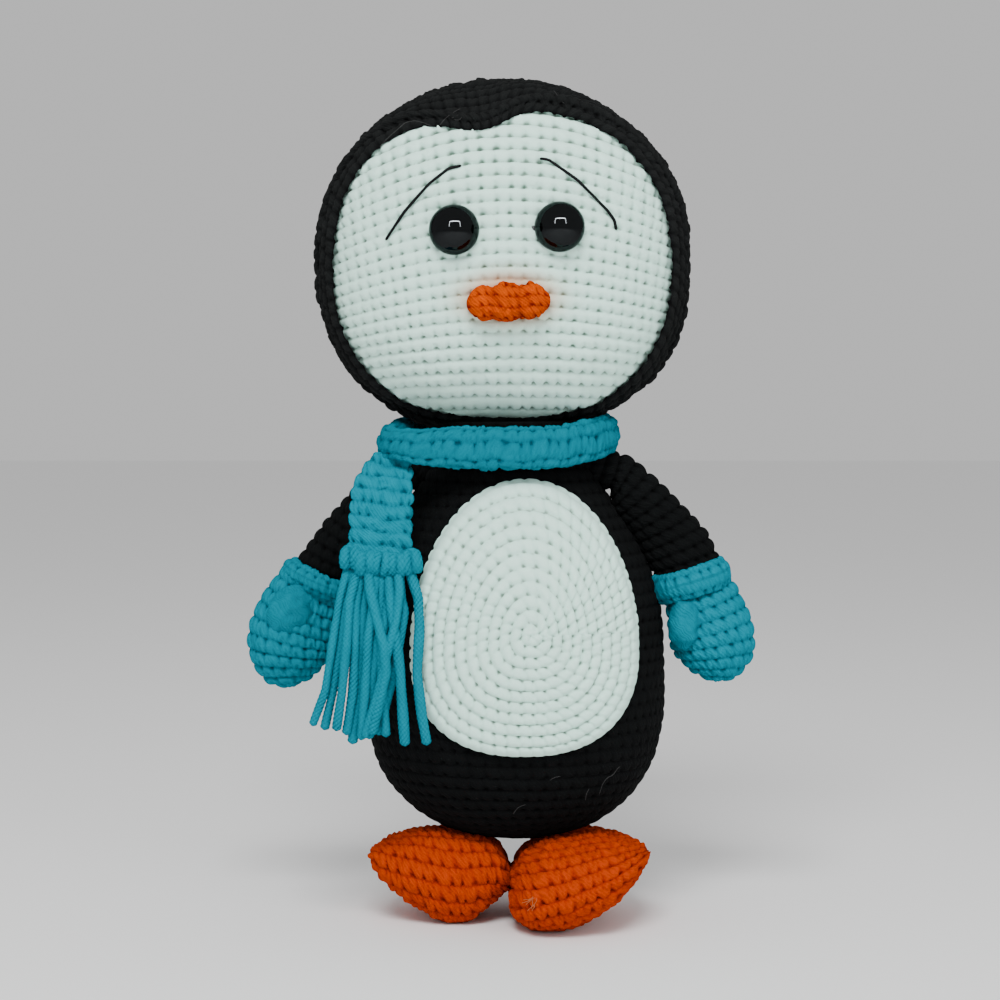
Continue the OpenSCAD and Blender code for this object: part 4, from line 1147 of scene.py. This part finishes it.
# ---------------------------------------------------------------- what rides on what
for ob, nodes, slot_, bd in (
    (face_ob, ("head_skin", "head_stuffing"), "white_yarn", "head"),
    (hood_ob, ("hood",), "black_yarn", "head"),
    (rim_ob, (), "black_yarn", "head"),
    (hood_lint, (), "grey_lint", "head"),
    (body_lint, (), "grey_lint", "body"),
    (stub, (), "grey_plastic", "head"),
    (tuft_ob, (), "grey_lint", "body"),
    (eye_obs[0], ("left_eye",), "eye_plastic", "head"),
    (eye_obs[1], ("right_eye",), "eye_plastic", "head"),
    (beak_ob, ("beak",), "beak_yarn", "head"),
    (brow_obs[0], ("left_brow",), "brow_thread", "head"),
    (brow_obs[1], ("right_brow",), "brow_thread", "head"),
    (body_ob, ("body_skin", "body_stuffing"), "black_yarn", "body"),
    (patch_ob, ("belly_patch",), "white_yarn", "body"),
    (wrap_ob, ("scarf_wrap",), "teal_yarn", "body"),
    (tail_ob, ("scarf_tail",), "teal_yarn", "scarf_tail"),
    (knots_ob, ("scarf_knots",), "teal_yarn", "scarf_tail"),
    (strands_ob, ("scarf_fringe",), "teal_yarn", "scarf_tail"),
    (foot_obs[-1], ("left_foot_skin", "left_foot_stuffing"), "orange_yarn", "body"),
    (foot_obs[1], ("right_foot_skin", "right_foot_stuffing"), "orange_yarn", "body"),
    (arm_obs[-1][1], ("left_mitten", "left_arm_stuffing"), "teal_yarn", "left_arm"),
    (arm_obs[-1][2], ("left_cuff",), "teal_yarn", "left_arm"),
    (thumb_obs[-1], ("left_thumb",), "teal_yarn", "left_arm"),
    (arm_obs[1][1], ("right_mitten", "right_arm_stuffing"), "teal_yarn", "right_arm"),
    (arm_obs[1][2], ("right_cuff",), "teal_yarn", "right_arm"),
    (thumb_obs[1], ("right_thumb",), "teal_yarn", "right_arm"),
):
    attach(ob, bd)
    if nodes:
        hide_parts(*nodes)
for side, nm, a, b in ((-1, "left", (-30, -1.4, 148), (-43, -1.4, 138)), (1, "right", (34, -1.4, 147), (47, -1.4, 138))):
    ob = arm_obs[side][0]
    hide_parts(nm + "_sleeve")
    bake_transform(ob)
for n in ("left_eye_washer", "right_eye_washer"):
    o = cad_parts[n]
    o.data.materials.clear()
    o.data.materials.append(GREY)

# ---------------------------------------------------------------- floor, light, camera
bpy.ops.mesh.primitive_plane_add(size=6, location=(0, 1.2, -0.0005))
floor = bpy.context.object
floor.name = "floor"
fm = bpy.data.materials.new("floor_white")
fm.use_nodes = True
b = fm.node_tree.nodes["Principled BSDF"]
b.inputs["Base Color"].default_value = (0.9, 0.9, 0.9, 1)
b.inputs["Roughness"].default_value = 0.9
floor.data.materials.append(fm)

world = bpy.data.worlds.new("studio")
bpy.context.scene.world = world
world.use_nodes = True
bg = world.node_tree.nodes["Background"]
bg.inputs["Color"].default_value = (1, 1, 1, 1)
bg.inputs["Strength"].default_value = 0.62


def area(name, loc, target, size, power, color=(1, 1, 1)):
    ld = bpy.data.lights.new(name, "AREA")
    ld.shape = "RECTANGLE"
    ld.size, ld.size_y = size
    ld.energy = power
    ld.color = color
    o = bpy.data.objects.new(name, ld)
    bpy.context.scene.collection.objects.link(o)
    o.location = loc
    o.rotation_mode = "QUATERNION"
    o.rotation_quaternion = (Vector(target) - Vector(loc)).to_track_quat("-Z", "Y")
    o.visible_glossy = name.startswith("edge")  # the thin strips are only there to glint in the eyes
    o.visible_diffuse = not o.visible_glossy
    return o


area("key", (-0.1, -0.75, 0.9), (0, 0, 0.14), (0.5, 0.35), 12.0)
area("fill", (0.6, -0.7, 0.35), (0, 0, 0.14), (0.4, 0.4), 2.0)
area("edge_top", (0.06, -0.80, 0.76), (0, 0, 0.2), (0.70, 0.045), 15.0)
area("edge_left", (-0.30, -0.80, 0.56), (0, 0, 0.2), (0.026, 0.36), 2.4)
area("edge_right", (0.42, -0.80, 0.56), (0, 0, 0.2), (0.026, 0.36), 2.4)

cam_d = bpy.data.cameras.new("camera")
cam_d.sensor_width = 36
cam_d.lens = 36 * 750 / 327.5
cam = bpy.data.objects.new("camera", cam_d)
bpy.context.scene.collection.objects.link(cam)
cam.location = (0, -0.749 + OY * MM, 0.1743)
cam.rotation_mode = "QUATERNION"
cam.rotation_quaternion = (Vector((0, OY * MM, 0.135)) - cam.location).to_track_quat("-Z", "Y")
cam_d.clip_start, cam_d.clip_end = 0.01, 20
bpy.context.scene.camera = cam
